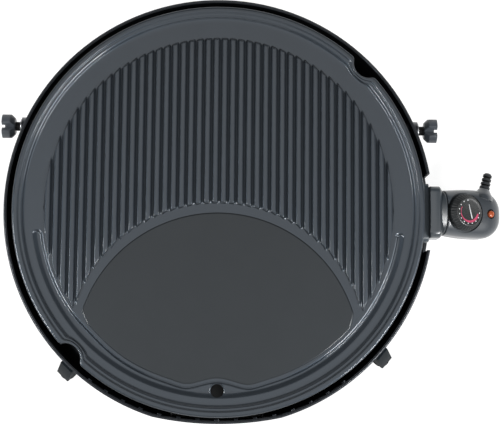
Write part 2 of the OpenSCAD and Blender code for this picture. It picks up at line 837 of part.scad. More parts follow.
leg_y = pin_spacing / 2;
leg_start_x = sqrt(element_ring_r * element_ring_r - leg_y * leg_y);
ring_end_angle = asin((leg_y - element_d / 2) / element_ring_r);
leg_knee_x = pin_back_x - 8;
leg_drop = element_z - plug_z;
leg_d = element_d - 1;
knuckle_d = element_d - 0.4;
leg_run = leg_knee_x - leg_start_x;

module heating_element() {
    color("#6b6a68") {
        translate([0, 0, element_z]) rotate([0, 0, ring_end_angle])
            rotate_extrude(angle = 360 - 2 * ring_end_angle)
                translate([element_ring_r, 0]) circle(d = element_d);
        for (side = [-1, 1]) translate([0, side * leg_y, 0]) {
            translate([leg_start_x, 0, element_z]) rotate([0, 90 + atan2(leg_drop, leg_run), 0])
                cylinder(h = norm([leg_drop, leg_run]), d = leg_d);
            translate([leg_knee_x, 0, plug_z]) {
                sphere(d = knuckle_d);
                rotate([0, 90, 0]) cylinder(h = pin_back_x - leg_knee_x, d = leg_d);
            }
        }
    }
}

module element_clips() {
    clip_in_r = clip_screw_ring_r - clip_boss_r - 1;
    color("#9a9c9f")
        for (k = [0 : clip_count - 1])
            rotate([0, 0, (k + 0.5) * 360 / clip_count])
                difference() {
                    translate([clip_in_r, -clip_w / 2, channel_z - clip_t])
                        cube([channel_out_r - clip_in_r, clip_w, clip_t]);
                    translate([clip_screw_ring_r, 0, channel_z - clip_t - cut])
                        cylinder(h = clip_t + 2 * cut, d = clip_screw_d + screw_gap);
                }
}

module clip_screws() {
    color("#c8cacc")
        for (k = [0 : clip_count - 1])
            rotate([0, 0, (k + 0.5) * 360 / clip_count])
                translate([clip_screw_ring_r, 0, channel_z - clip_t]) screw(clip_screw_d, clip_screw_l);
}

module at_pins() {
    for (side = [-1, 1])
        translate([0, side * leg_y, plug_z]) rotate([0, 90, 0]) children();
}

module terminal_pins() {
    color("#d0d2d4") at_pins() translate([0, 0, pin_back_x]) cylinder(h = pin_tip_x - pin_back_x, d = pin_d);
}

module ceramic_insulators() {
    color("#ece8dc") at_pins() translate([0, 0, guard_back_x - insulator_back]) difference() {
        cylinder(h = insulator_l, r = insulator_r);
        translate([0, 0, -cut]) cylinder(h = insulator_l + 2 * cut, r = pin_d / 2 + run_gap);
    }
}

// A rounded rectangle round the plug's axis, extruded along X
module plug_block(x0, x1, w, h, r) {
    translate([x0, 0, plug_z]) rotate([90, 0, 90]) linear_extrude(x1 - x0) {
        translate([-w / 2 + r, -h / 2]) square([w - 2 * r, h]);
        translate([-w / 2, -h / 2 + r]) square([w, h - 2 * r]);
        for (sx = [-1, 1], sy = [-1, 1])
            translate([sx * (w / 2 - r), sy * (h / 2 - r)]) circle(r = r);
    }
}

module socket_guard() {
    tab_edge = 6; // from the screws to the inner edge of the two tabs
    tab_sink = 3; // how far the tabs reach over the guard
    slot_gap = 1; // round the probe and its boss
    tab_in_x = guard_screw_x - tab_edge;
    color("#3b3e41") difference() {
        union() {
            plug_block(guard_back_x, guard_front_x, guard_w, guard_h, guard_corner_r);
            translate([tab_in_x, -guard_w / 2 + guard_corner_r / 2, ring_under_z - guard_wall])
                cube([guard_back_x + tab_sink - tab_in_x, guard_w - guard_corner_r, guard_wall]);
        }
        plug_block(guard_back_x + guard_wall, guard_front_x + cut, guard_w - 2 * guard_wall,
            guard_h - 2 * guard_wall, guard_corner_r - guard_wall);
        at_pins() cylinder(h = plate_r, r = insulator_r + run_gap);
        translate([guard_back_x - cut, 0, plug_z]) rotate([0, 90, 0])
            cylinder(h = guard_wall + 2 * cut, r = probe_d / 2 + slot_gap);
        translate([tab_in_x - slot_gap, -probe_boss_w / 2 - slot_gap, ring_under_z - guard_wall - cut])
            cube([guard_back_x - tab_in_x, probe_boss_w + 2 * slot_gap, guard_wall + 2 * cut]);
        for (side = [-1, 1])
            translate([guard_screw_x, side * guard_screw_y, ring_under_z - guard_wall - cut])
                cylinder(h = guard_wall + 2 * cut, d = guard_screw_d + screw_gap);
    }
}

module guard_screws() {
    color("#c8cacc")
        for (side = [-1, 1])
            translate([guard_screw_x, side * guard_screw_y, ring_under_z - guard_wall])
                screw(guard_screw_d, guard_screw_l);
}

/* Controller: plug end */

contact_r = pin_d / 2 + run_gap + contact_wall;
contact_sunk = 1; // how far a contact lies behind the nose's face
nose_gap = 0.4;
probe_seat_l = 6; // length of the probe that the collar holds

module controller_nose() {
    contact_end_x = pin_tip_x + contact_sunk + seat_gap;
    color("#1b1c1e") difference() {
        plug_block(nose_back_x, collar_x, guard_w - 2 * guard_wall - 2 * nose_gap,
            guard_h - 2 * guard_wall - 2 * nose_gap, guard_corner_r - guard_wall);
        at_pins() translate([0, 0, nose_back_x - cut])
            cylinder(h = contact_end_x - nose_back_x + cut, r = contact_r + run_gap);
        translate([nose_back_x - cut, 0, plug_z]) rotate([0, 90, 0])
            cylinder(h = long_cut, r = probe_d / 2 + run_gap);
    }
}

module socket_contacts() {
    color("#c9a24b") at_pins() translate([0, 0, nose_back_x + contact_sunk]) difference() {
        cylinder(h = pin_tip_x - nose_back_x, r = contact_r);
        translate([0, 0, -cut]) cylinder(h = pin_tip_x - nose_back_x + 2 * cut, r = pin_d / 2 + run_gap);
    }
}

module probe_rod() {
    color("#c4c6c9") translate([probe_tip_x, 0, plug_z]) rotate([0, 90, 0])
        cylinder(h = collar_x + probe_seat_l - probe_tip_x, d = probe_d);
}

// The housing's own frame: x down its length from the seam, z square to its top
module on_housing() {
    translate([seam_x, 0, seam_z]) rotate([0, housing_tilt, 0]) children();
}

// Bar along X with its long edges rounded, from x = 0
module round_bar(l, w, h, r) {
    for (y = [-1, 1], z = [-1, 1]) translate([0, y * (w / 2 - r), z * (h / 2 - r)])
        rotate([0, 90, 0]) cylinder(h = l, r = r);
    translate([0, -w / 2, r - h / 2]) cube([l, w, h - 2 * r]);
    translate([0, r - w / 2, -h / 2]) cube([l, w - 2 * r, h]);
}

module controller_collar() {
    chamfer = 3.5;
    neck_step = 1.5;
    neck_w = housing_w - 2 * neck_step;
    neck_h = 2 * (shell_h - neck_step);
    color("#4c4f54") difference() {
        union() {
            intersection() {
                translate([collar_x, 0, collar_z - collar_h / 2]) linear_extrude(collar_h)
                    polygon([
                        [0, -collar_w / 2], [collar_l - chamfer, -collar_w / 2],
                        [collar_l, -collar_w / 2 + chamfer], [collar_l, collar_w / 2 - chamfer],
                        [collar_l - chamfer, collar_w / 2], [0, collar_w / 2]
                    ]);
                translate([collar_x - cut, 0, collar_z])
                    round_bar(collar_l + 2 * cut, collar_w, collar_h, collar_edge_r);
            }
            intersection() {
                on_housing() translate([-collar_l, 0, 0])
                    round_bar(collar_l - fit_gap, neck_w, neck_h, collar_edge_r);
                translate([collar_x, -collar_w, collar_z - collar_h / 2])
                    cube([2 * collar_l, 2 * collar_w, collar_h]);
            }
        }
        translate([collar_x - long_cut, -collar_w, 0]) cube([long_cut, 2 * collar_w, 2 * seam_z]);
        on_housing() translate([-fit_gap, -collar_w, -collar_h]) cube([long_cut, 2 * collar_w, 2 * collar_h]);
        translate([collar_x - cut, 0, plug_z]) rotate([0, 90, 0])
            cylinder(h = cut + probe_seat_l + fit_gap, r = probe_d / 2 + run_gap);
    }
}

/* Controller: housing */

module housing_outline(inset, start) {
    half_w = housing_w / 2 - inset;
    len = housing_l - inset;
    r = housing_corner_r - inset;
    translate([start, -half_w]) square([len - r - start, 2 * half_w]);
    translate([start, -half_w + r]) square([len - start, 2 * half_w - 2 * r]);
    for (side = [-1, 1]) translate([len - r, side * (half_w - r)]) circle(r = r, $fn = 32);
}

// One half of the housing, as a filled shape with its rim at z = 0
side_share = 0.62; // of a half's height, up to where its rounded edge begins
upper_edge = 4.5; // how far the rounded edge draws in
lower_edge = 6;
module shell_fill(inset, start, edge_inset) {
    hull() {
        linear_extrude(shell_h * side_share - inset) housing_outline(inset, start);
        linear_extrude(shell_h - inset) housing_outline(inset + edge_inset, start);
    }
}

shell_screws = [[9, 20.5], [9, -20.5], [58, -12]];
shell_screw_d = 2.6;
shell_screw_l = 20;
shell_screw_z = -shell_h + 4;
screw_boss_r = 3.4;
screw_boss_gap = 0.2;

relief_z = 7;
relief_flange_r = 6.8;
relief_flange_t = 1.6;
relief_neck_r = 5.6;
relief_tip_r = 4.4;
relief_depth = 6.2; // how far the strain relief reaches inside the housing's wall

module on_relief() {
    on_housing() translate([relief_x, housing_w / 2 - shell_wall, relief_z])
        rotate([0, 0, -relief_lean]) rotate([-90, 0, 0]) children();
}

module controller_upper_shell() {
    color("#54575c") difference() {
        on_housing() union() {
            difference() {
                shell_fill(0, 0, upper_edge);
                translate([0, 0, -eps]) shell_fill(shell_wall, shell_wall, upper_edge);
            }
            for (p = shell_screws)
                translate([p[0], p[1], screw_boss_gap]) cylinder(h = shell_h - shell_wall, r = screw_boss_r);
        }
        on_housing() {
            for (p = shell_screws)
                translate([p[0], p[1], -cut])
                    cylinder(h = shell_screw_z + shell_screw_l + 2 * cut, d = shell_screw_d + thread_gap);
            translate([dial_x, 0, 0]) cylinder(h = long_cut, r = shaft_d / 2 + seat_gap);
            translate([lamp_x, 0, 0]) cylinder(h = long_cut, r = lens_d / 2 + fit_gap);
        }
        on_relief() translate([0, 0, relief_flange_t - relief_depth + fit_gap])
            cylinder(h = 2 * relief_depth + shell_wall, r = relief_neck_r + fit_gap);
    }
}

module controller_lower_shell() {
    color("#404347") on_housing() difference() {
        union() {
            mirror([0, 0, 1]) difference() {
                shell_fill(0, 0, lower_edge);
                translate([0, 0, -eps]) shell_fill(shell_wall, shell_wall, lower_edge);
            }
            for (p = shell_screws)
                translate([p[0], p[1], -shell_h + shell_wall / 2])
                    cylinder(h = shell_h - shell_wall / 2, r = screw_boss_r);
        }
        for (p = shell_screws) translate([p[0], p[1], -shell_h - cut]) {
            cylinder(h = long_cut, d = shell_screw_d + screw_gap);
            cylinder(h = shell_screw_z + shell_h + cut, d = screw_head_ratio * shell_screw_d + screw_gap);
        }
    }
}

module controller_screws() {
    color("#8d9094") on_housing()
        for (p = shell_screws) translate([p[0], p[1], shell_screw_z]) screw(shell_screw_d, shell_screw_l);
}

shaft_foot_z = -7.5;
module thermostat_switch() {
    switch_w = 24;
    switch_h = shell_h + 2;
    color("#7d6b4a") on_housing() difference() {
        translate([dial_x - switch_w / 2, -switch_w / 2, -shell_h + shell_wall])
            cube([switch_w, switch_w, switch_h]);
        translate([dial_x, 0, shaft_foot_z - seat_gap]) cylinder(h = long_cut, r = shaft_d / 2 + run_gap);
    }
}

dial_z = shell_h + seat_gap;
shaft_top_z = dial_z + dial_h - 2.5;
module dial_shaft() {
    color("#b0b2b4") on_housing() translate([dial_x, 0, shaft_foot_z])
        cylinder(h = shaft_top_z - shaft_foot_z, d = shaft_d);
}

module temperature_dial() {
    color("#232527") on_housing() translate([dial_x, 0, 0]) difference() {
        translate([0, 0, dial_z]) cylinder(h = dial_h, d1 = dial_d, d2 = dial_face_d);
        translate([0, 0, dial_z - cut])
            cylinder(h = shaft_top_z - dial_z + cut + fit_gap, r = shaft_d / 2 + run_gap);
    }
}

lens_flange_t = 1.5;
lens_foot_z = shell_h - shell_wall - fit_gap - lens_flange_t;
module indicator_lens() {
    dome_h = 1.6;
    lens_stand = 0.4; // straight side of the lens above the housing
    flange_w = 1;
    lens_l = shell_wall + flange_w + lens_stand + dome_h;
    lens_r = lens_d / 2;
    dome_r = (lens_r * lens_r + dome_h * dome_h) / (2 * dome_h);
    color("#f07a1a") on_housing() translate([lamp_x, 0, 0]) {
        translate([0, 0, lens_foot_z]) cylinder(h = lens_flange_t, r = lens_r + flange_w);
        translate([0, 0, shell_h - shell_wall - flange_w]) rotate_extrude() intersection() {
            square([lens_r, lens_l]);
            translate([0, lens_l - dome_r]) circle(r = dome_r);
        }
    }
}

module neon_lamp() {
    lamp_foot_z = -shell_h + shell_wall;
    color("#f4d9b0") on_housing() translate([lamp_x, 0, lamp_foot_z])
        cylinder(h = lens_foot_z - seat_gap - lamp_foot_z, r = 3);
}

module strain_relief() {
    ring_count = 4;
    ring_l = 2.4;
    groove = 0.9;
    flare = 0.6;
    neck_stand = 6;
    cone_l = relief_l - ring_count * ring_l;
    color("#141516") difference() {
        union() {
            difference() {
                on_relief() {
                    cylinder(h = cone_l, r1 = relief_flange_r + flare, r2 = relief_tip_r);
                    for (k = [0 : ring_count - 1])
                        translate([0, 0, cone_l + k * ring_l]) {
                            cylinder(h = ring_l, r = relief_tip_r - groove);
                            translate([0, 0, ring_l / 2]) cylinder(h = ring_l / 2, r = relief_tip_r);
                        }
                }
                on_housing() translate([0, -housing_w, -housing_w])
                    cube([2 * housing_l, 1.5 * housing_w + fit_gap, 2 * housing_w]);
            }
            on_relief() {
                translate([0, 0, -relief_depth]) cylinder(h = relief_flange_t, r = relief_flange_r);
                translate([0, 0, -relief_depth]) cylinder(h = relief_depth + neck_stand, r = relief_neck_r);
            }
        }
        on_relief() translate([0, 0, -relief_depth - cut])
            cylinder(h = relief_depth + relief_l + 2 * cut, d = cord_bore_d);
    }
}

base_bowl();
heat_reflector();
reflector_screws();
drip_drawer();
foot_front_left();
foot_front_right();
foot_rear_left();
foot_rear_right();
pad_front_left();
pad_front_right();
pad_rear_left();
pad_rear_right();
foot_screws();
left_clamp_nut();
left_clamp_washer();
left_clamp_stud();
left_clamp_grip();
right_clamp_nut();
right_clamp_washer();
right_clamp_stud();
right_clamp_grip();
grill_plate();
heating_element();
element_clips();
clip_screws();
terminal_pins();
ceramic_insulators();
socket_guard();
guard_screws();
controller_nose();
socket_contacts();
probe_rod();
controller_collar();
controller_upper_shell();
controller_lower_shell();
controller_screws();
thermostat_switch();
dial_shaft();
temperature_dial();
indicator_lens();
neon_lamp();
strain_relief();
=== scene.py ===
import math

import bmesh
import bpy
import numpy as np
from mathutils import Matrix, Vector


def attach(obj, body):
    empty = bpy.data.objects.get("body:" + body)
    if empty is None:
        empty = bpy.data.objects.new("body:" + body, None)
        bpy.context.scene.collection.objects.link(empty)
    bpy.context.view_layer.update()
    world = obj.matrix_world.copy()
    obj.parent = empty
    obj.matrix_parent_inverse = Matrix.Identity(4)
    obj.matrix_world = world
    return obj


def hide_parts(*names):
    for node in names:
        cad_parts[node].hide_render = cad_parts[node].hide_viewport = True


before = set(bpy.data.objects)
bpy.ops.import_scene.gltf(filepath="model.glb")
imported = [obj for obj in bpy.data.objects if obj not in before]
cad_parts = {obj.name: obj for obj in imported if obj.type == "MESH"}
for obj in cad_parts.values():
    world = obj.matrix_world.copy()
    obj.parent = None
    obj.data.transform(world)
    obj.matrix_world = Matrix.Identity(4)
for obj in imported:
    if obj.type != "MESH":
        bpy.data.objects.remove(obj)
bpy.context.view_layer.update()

MM = 0.001
scene = bpy.context.scene

# ---------------------------------------------------------------- camera

CAMERA_PLACE = (0.0092, -0.158, 1.447)
CAMERA_PAN = -1.0
CAMERA_TILT = 6.5
CAMERA_ROLL = 0.5
SENSOR = 36.0
FOCAL_PIXELS = 1286.0
IMAGE_WIDTH = 500.0


def set_camera():
    camera = bpy.data.objects.new("camera", bpy.data.cameras.new("camera"))
    scene.collection.objects.link(camera)
    camera.data.sensor_width = SENSOR
    camera.data.lens = SENSOR * FOCAL_PIXELS / IMAGE_WIDTH
    pan = Matrix.Rotation(math.radians(CAMERA_PAN), 4, "Y")
    tilt = Matrix.Rotation(math.radians(CAMERA_TILT), 4, "X")
    roll = Matrix.Rotation(math.radians(CAMERA_ROLL), 4, "Z")
    camera.matrix_world = Matrix.Translation(CAMERA_PLACE) @ pan @ tilt @ roll
    scene.camera = camera


set_camera()
scene.view_settings.view_transform = "Standard"

# ---------------------------------------------------------------- light and floor

WORLD_FILL = 0.18
FLOOR_REACH = 6.0
FLOOR_WALL_H = 1.8
FLOOR_GLOW = 0.9
AIM_Z = 0.08
STRIP_REACH = 1.17
STRIP_HEIGHT = 1.12
STRIP_SIZE = (0.75, 0.1)
# Name, turn round the plate in degrees and brightness of the two low strip lights
STRIPS = (("left_strip", 194.0, 64.0), ("right_strip", 329.0, 75.0))
# Name, place, width, height and brightness of the soft boxes
BOXES = (
    ("top_box", (0.0, 0.0, 2.5), 2.2, 2.2, 0.9),
    ("front_box", (0.0, -1.5, 1.0), 1.4, 0.8, 0.8),
    ("dial_box", (1.35, -0.2, 1.17), 0.45, 0.45, 3.5),
)


def seen_directly(nodes, links):
    """1 for camera, glossy and transmission rays, 0 for the rays that carry light."""
    rays = nodes.new("ShaderNodeLightPath")
    total = rays.outputs["Is Camera Ray"]
    for kind in ("Is Glossy Ray", "Is Transmission Ray"):
        either = nodes.new("ShaderNodeMath")
        either.operation = "MAXIMUM"
        links.new(total, either.inputs[0])
        links.new(rays.outputs[kind], either.inputs[1])
        total = either.outputs[0]
    return total


def light_world():
    world = bpy.data.worlds.new("soft_room")
    scene.world = world
    world.use_nodes = True
    fill = world.node_tree.nodes["Background"]
    fill.inputs["Color"].default_value = (1, 1, 1, 1)
    fill.inputs["Strength"].default_value = WORLD_FILL


def lay_floor():
    """A wide floor whose far edges turn up into low walls."""
    far = FLOOR_REACH
    mesh = bpy.data.meshes.new("studio_floor")
    corners = [(-far, -far), (far, -far), (far, far), (-far, far)]
    points = [(x, y, z) for z in (0.0, FLOOR_WALL_H) for x, y in corners]
    walls = [(k, (k + 1) % 4, (k + 1) % 4 + 4, k + 4) for k in range(4)]
    mesh.from_pydata(points, [], [(0, 1, 2, 3)] + walls)
    floor = bpy.data.objects.new("studio_floor", mesh)
    scene.collection.objects.link(floor)
    paint = bpy.data.materials.new("studio_floor")
    paint.use_nodes = True
    nodes = paint.node_tree.nodes
    links = paint.node_tree.links
    nodes.clear()
    matt = nodes.new("ShaderNodeBsdfDiffuse")
    matt.inputs["Color"].default_value = (0.8, 0.8, 0.8, 1)
    faint = nodes.new("ShaderNodeBsdfDiffuse")
    faint.inputs["Color"].default_value = (0.24, 0.24, 0.24, 1)
    glow = nodes.new("ShaderNodeEmission")
    glow.inputs["Strength"].default_value = FLOOR_GLOW
    both = nodes.new("ShaderNodeAddShader")
    mix = nodes.new("ShaderNodeMixShader")
    out = nodes.new("ShaderNodeOutputMaterial")
    links.new(faint.outputs[0], both.inputs[0])
    links.new(glow.outputs[0], both.inputs[1])
    links.new(seen_directly(nodes, links), mix.inputs["Fac"])
    links.new(matt.outputs[0], mix.inputs[1])
    links.new(both.outputs[0], mix.inputs[2])
    links.new(mix.outputs[0], out.inputs["Surface"])
    mesh.materials.append(paint)


def hang_lamp(name, place, width, height, radiance):
    """A softbox that looks at the plate. Its power follows from how bright its face is."""
    lamp = bpy.data.lights.new(name, "AREA")
    lamp.shape = "RECTANGLE"
    lamp.size = width
    lamp.size_y = height
    lamp.energy = radiance * math.pi * width * height
    holder = bpy.data.objects.new(name, lamp)
    scene.collection.objects.link(holder)
    holder.visible_camera = False
    aim = Vector((0, 0, AIM_Z)) - Vector(place)
    holder.matrix_world = Matrix.Translation(place) @ aim.to_track_quat("-Z", "Y").to_matrix().to_4x4()


light_world()
lay_floor()
for name, turn, brightness in STRIPS:
    x = STRIP_REACH * math.cos(math.radians(turn))
    y = STRIP_REACH * math.sin(math.radians(turn))
    hang_lamp(name, (x, y, STRIP_HEIGHT), *STRIP_SIZE, brightness)
for box in BOXES:
    hang_lamp(*box)

# ---------------------------------------------------------------- finishes


def linear(red, green, blue):
    """A colour written on the usual 0 to 255 scale, as light."""
    parts = []
    for part in (red, green, blue):
        share = part / 255
        parts.append(share / 12.92 if share <= 0.04045 else ((share + 0.055) / 1.055) ** 2.4)
    return tuple(parts)


def noise_on(nodes, links, size_mm, detail, stretch=(1, 1, 1)):
    place = nodes.new("ShaderNodeTexCoord")
    turn = nodes.new("ShaderNodeMapping")
    turn.inputs["Scale"].default_value = stretch
    noise = nodes.new("ShaderNodeTexNoise")
    noise.inputs["Scale"].default_value = 1 / (size_mm * MM)
    noise.inputs["Detail"].default_value = detail
    links.new(place.outputs["Object"], turn.inputs["Vector"])
    links.new(turn.outputs["Vector"], noise.inputs["Vector"])
    return noise.outputs["Fac"]


def spread(nodes, links, value, low, high):
    """Noise from 0.3 to 0.7 drawn out to a range."""
    ranged = nodes.new("ShaderNodeMapRange")
    ranged.inputs["From Min"].default_value = 0.3
    ranged.inputs["From Max"].default_value = 0.7
    ranged.inputs["To Min"].default_value = low
    ranged.inputs["To Max"].default_value = high
    links.new(value, ranged.inputs["Value"])
    return ranged.outputs["Result"]


def finish(name, colour, rough, metal=0.0, specular=0.5, grain=0.8, grain_depth=0.02,
           rough_play=0.06, cloud=30.0, cloud_play=0.12, speckle_play=0.08, coat=0.0,
           coat_rough=0.2, coat_index=1.5, shine=(255, 255, 255), stretch=(1, 1, 1)):
    """A moulded, cast, painted or metal surface: cloudy colour, fine speckle, grain and uneven gloss."""
    material = bpy.data.materials.new(name)
    material.use_nodes = True
    nodes = material.node_tree.nodes
    links = material.node_tree.links
    shader = nodes["Principled BSDF"]
    shader.inputs["Metallic"].default_value = metal
    shader.inputs["Specular IOR Level"].default_value = specular
    shader.inputs["Coat Weight"].default_value = coat
    shader.inputs["Coat Roughness"].default_value = coat_rough
    shader.inputs["Coat IOR"].default_value = coat_index
    shader.inputs["Specular Tint"].default_value = (*linear(*shine), 1)
    tone = linear(*colour)
    clouds = spread(nodes, links, noise_on(nodes, links, cloud, 4.0), 1 - cloud_play, 1 + cloud_play)
    speckle = noise_on(nodes, links, grain, 3.0, stretch)
    speckles = spread(nodes, links, speckle, 1 - speckle_play, 1 + speckle_play)
    both = nodes.new("ShaderNodeMath")
    both.operation = "MULTIPLY"
    links.new(clouds, both.inputs[0])
    links.new(speckles, both.inputs[1])
    tint = nodes.new("ShaderNodeVectorMath")
    tint.operation = "SCALE"
    tint.inputs[0].default_value = tone
    links.new(both.outputs[0], tint.inputs["Scale"])
    links.new(tint.outputs[0], shader.inputs["Base Color"])
    gloss = spread(nodes, links, speckle, rough - rough_play, rough + rough_play)
    links.new(gloss, shader.inputs["Roughness"])
    bump = nodes.new("ShaderNodeBump")
    bump.inputs["Strength"].default_value = 1.0
    bump.inputs["Distance"].default_value = grain_depth * MM
    links.new(speckle, bump.inputs["Height"])
    links.new(bump.outputs["Normal"], shader.inputs["Normal"])
    return material


PLATE_COAT = finish("plate_coat", (17, 20, 23), 0.42, specular=0.65, grain=1.1, grain_depth=0.012,
                    coat=1.0, coat_rough=0.1, coat_index=1.47, shine=(206, 230, 255))
SMOOTH_COAT = finish("smooth_coat", (16, 18, 19), 0.5, specular=0.42, grain=1.1, grain_depth=0.015,
                     coat=0.6, coat_rough=0.12, coat_index=1.47, shine=(220, 236, 250))
BOWL_PAINT = finish("bowl_paint", (13, 14, 16), 0.36, specular=0.4, grain=1.6, grain_depth=0.01, coat=0.5,
                    coat_rough=0.16, shine=(222, 236, 255))
DRAWER_PAINT = finish("drawer_paint", (20, 21, 22), 0.38, grain=1.4, grain_depth=0.02)
FOOT_NYLON = finish("foot_nylon", (21, 26, 29), 0.7, specular=0.1, grain=0.9, grain_depth=0.04,
                    shine=(205, 228, 255))
PAD_RUBBER = finish("pad_rubber", (14, 14, 15), 0.75, specular=0.3, grain=0.7, grain_depth=0.05)
GRIP_PLASTIC = finish("grip_plastic", (66, 71, 77), 0.36, grain=0.8, grain_depth=0.04)
ZINC_STEEL = finish("zinc_steel", (176, 178, 180), 0.3, metal=1.0, grain=0.9, cloud_play=0.08)
BRIGHT_STEEL = finish("bright_steel", (200, 202, 204), 0.22, metal=1.0, grain=0.6, cloud_play=0.06)
REFLECTOR_SHEET = finish("reflector_sheet", (168, 170, 172), 0.35, metal=1.0, grain=2.5, cloud=60,
                         stretch=(1, 8, 1))
ELEMENT_STEEL = finish("element_steel", (96, 88, 82), 0.45, metal=0.9, cloud=22, cloud_play=0.3)
CLIP_STEEL = finish("clip_steel", (150, 152, 154), 0.34, metal=1.0)
CERAMIC = finish("ceramic", (222, 216, 204), 0.45, grain=0.7, cloud_play=0.05, speckle_play=0.03)
GUARD_STEEL = finish("guard_steel", (62, 71, 78), 0.42, specular=0.5, grain=1.2, grain_depth=0.05,
                     cloud=12, cloud_play=0.2)
NOSE_BAKELITE = finish("nose_bakelite", (26, 24, 23), 0.4)
CONTACT_BRASS = finish("contact_brass", (182, 146, 84), 0.3, metal=1.0)
PROBE_STEEL = finish("probe_steel", (186, 184, 180), 0.28, metal=1.0, stretch=(0.2, 1, 1))
COLLAR_PLASTIC = finish("collar_plastic", (44, 51, 57), 0.36, grain=0.7, grain_depth=0.02, coat=0.8,
                        coat_rough=0.22)
SHELL_PLASTIC = finish("shell_plastic", (50, 56, 62), 0.36, grain=0.7, grain_depth=0.02, coat=1.0,
                       coat_rough=0.2)
LOWER_PLASTIC = finish("lower_plastic", (42, 47, 51), 0.4, grain=0.7, grain_depth=0.03)
SWITCH_BROWN = finish("switch_brown", (120, 100, 68), 0.5)
DIAL_PLASTIC = finish("dial_plastic", (22, 25, 26), 0.3, grain=0.6, grain_depth=0.005, coat=1.0,
                      coat_rough=0.26)
KNURL_PLASTIC = finish("knurl_plastic", (22, 25, 27), 0.5, specular=0.35, grain=0.6, grain_depth=0.01)
DIAL_WHITE = finish("dial_white", (214, 217, 219), 0.45, grain=0.4, cloud_play=0.03, speckle_play=0.03)
DIAL_RED = finish("dial_red", (184, 62, 96), 0.42, grain=0.4, cloud=3, cloud_play=0.25)
BLACK_TRIM = finish("black_trim", (6, 6, 7), 0.6, specular=0.2)
LENS_ORANGE = finish("lens_orange", (176, 84, 46), 0.16, grain=0.5, cloud=2.2, cloud_play=0.4)
NEON_GLASS = finish("neon_glass", (236, 200, 160), 0.15)
RELIEF_RUBBER = finish("relief_rubber", (34, 37, 40), 0.42, grain=0.7, grain_depth=0.04)

# ---------------------------------------------------------------- meshes


def closed_mesh(name, points, faces, place=None):
    """A closed mesh from points in millimetres, with its faces turned outwards."""
    mesh = bpy.data.meshes.new(name)
    mesh.from_pydata([Vector(p) * MM for p in points], [], faces)
    if place is not None:
        mesh.transform(place)
    form = bmesh.new()
    form.from_mesh(mesh)
    bmesh.ops.recalc_face_normals(form, faces=form.faces)
    form.to_mesh(mesh)
    form.free()
    return mesh


def fit_piece(name, mesh, material, body, replaced=(), crease=35.0):
    """Hangs a finished mesh on its body, as the piece that stands for the nodes it replaces."""
    mesh.name = name
    mesh.materials.clear()
    mesh.materials.append(material)
    mesh.shade_smooth()
    mesh.set_sharp_from_angle(angle=math.radians(crease))
    made = bpy.data.objects.new(name, mesh)
    scene.collection.objects.link(made)
    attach(made, body)
    if replaced:
        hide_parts(*replaced)
    return made


def repaint(piece, material, picked):
    """Gives a second finish to the faces whose middle is picked."""
    piece.data.materials.append(material)
    for face in piece.data.polygons:
        if picked(face.center):
            face.material_index = 1


def joined(name, *meshes):
    """Several meshes as one."""
    form = bmesh.new()
    for mesh in meshes:
        form.from_mesh(mesh)
    whole = bpy.data.meshes.new(name)
    form.to_mesh(whole)
    form.free()
    return whole


def worked(mesh, *steps):
    """The mesh after these modifiers, each given as its kind and its settings."""
    holder = bpy.data.objects.new("workpiece", mesh)
    scene.collection.objects.link(holder)
    for kind, settings in steps:
        modifier = holder.modifiers.new(kind.lower(), kind)
        for key, value in settings.items():
            setattr(modifier, key, value)
    bpy.context.view_layer.update()
    done = bpy.data.meshes.new_from_object(holder.evaluated_get(bpy.context.evaluated_depsgraph_get()))
    bpy.data.objects.remove(holder)
    return done


def cut_away(mesh, *tools):
    """The mesh less each of the tools."""
    helpers = []
    steps = []
    for tool in tools:
        helper = bpy.data.objects.new("cutter", tool)
        scene.collection.objects.link(helper)
        helpers.append(helper)
        steps.append(("BOOLEAN", {"object": helper, "operation": "DIFFERENCE", "solver": "EXACT"}))
    done = worked(mesh, *steps)
    for helper in helpers:
        bpy.data.objects.remove(helper)
    return done


MERGE_REACH = 0.02 * MM
FLAT_WITHIN = math.radians(0.8)


def node_mesh(node):
    """A copy of a CAD node's mesh with its loose triangles merged."""
    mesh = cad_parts[node].data.copy()
    form = bmesh.new()
    form.from_mesh(mesh)
    bmesh.ops.remove_doubles(form, verts=form.verts, dist=MERGE_REACH)
    bmesh.ops.dissolve_limit(form, angle_limit=FLAT_WITHIN, verts=form.verts, edges=form.edges)
    form.to_mesh(mesh)
    form.free()
    return mesh


def eased(node, name, material, body, width, segments=2, angle=32.0):
    """A CAD node with its hard edges rounded."""
    bevel = {"width": width * MM, "segments": segments, "limit_method": "ANGLE",
             "angle_limit": math.radians(angle), "use_clamp_overlap": True, "miter_outer": "MITER_ARC",
             "harden_normals": False}
    mesh = worked(node_mesh(node), ("BEVEL", bevel))
    return fit_piece(name, mesh, material, body, (node,), crease=40.0)


def add_row(points, row):
    """Adds a row of points and gives their numbers."""
    first = len(points)
    points.extend(row)
    return list(range(first, len(points)))


def skin(rows, around=True):
    """Faces between neighbouring rows of point numbers; doubled points at a pole make triangles."""
    faces = []
    count = len(rows[0])
    for low, high in zip(rows, rows[1:]):
        for k in range(count if around else count - 1):
            n = (k + 1) % count
            ring = []
            for point in (low[k], low[n], high[n], high[k]):
                if point not in ring:
                    ring.append(point)
            if len(ring) > 2:
                faces.append(ring)
    return faces


def circle(radius, height, steps, radius_at=None):
    """Points round the axis; radius_at shapes the radius by its turn."""
    row = []
    for k in range(steps):
        turn = 2 * math.pi * k / steps
        r = radius if radius_at is None else radius_at(radius, height, turn)
        row.append((r * math.cos(turn), r * math.sin(turn), height))
    return row


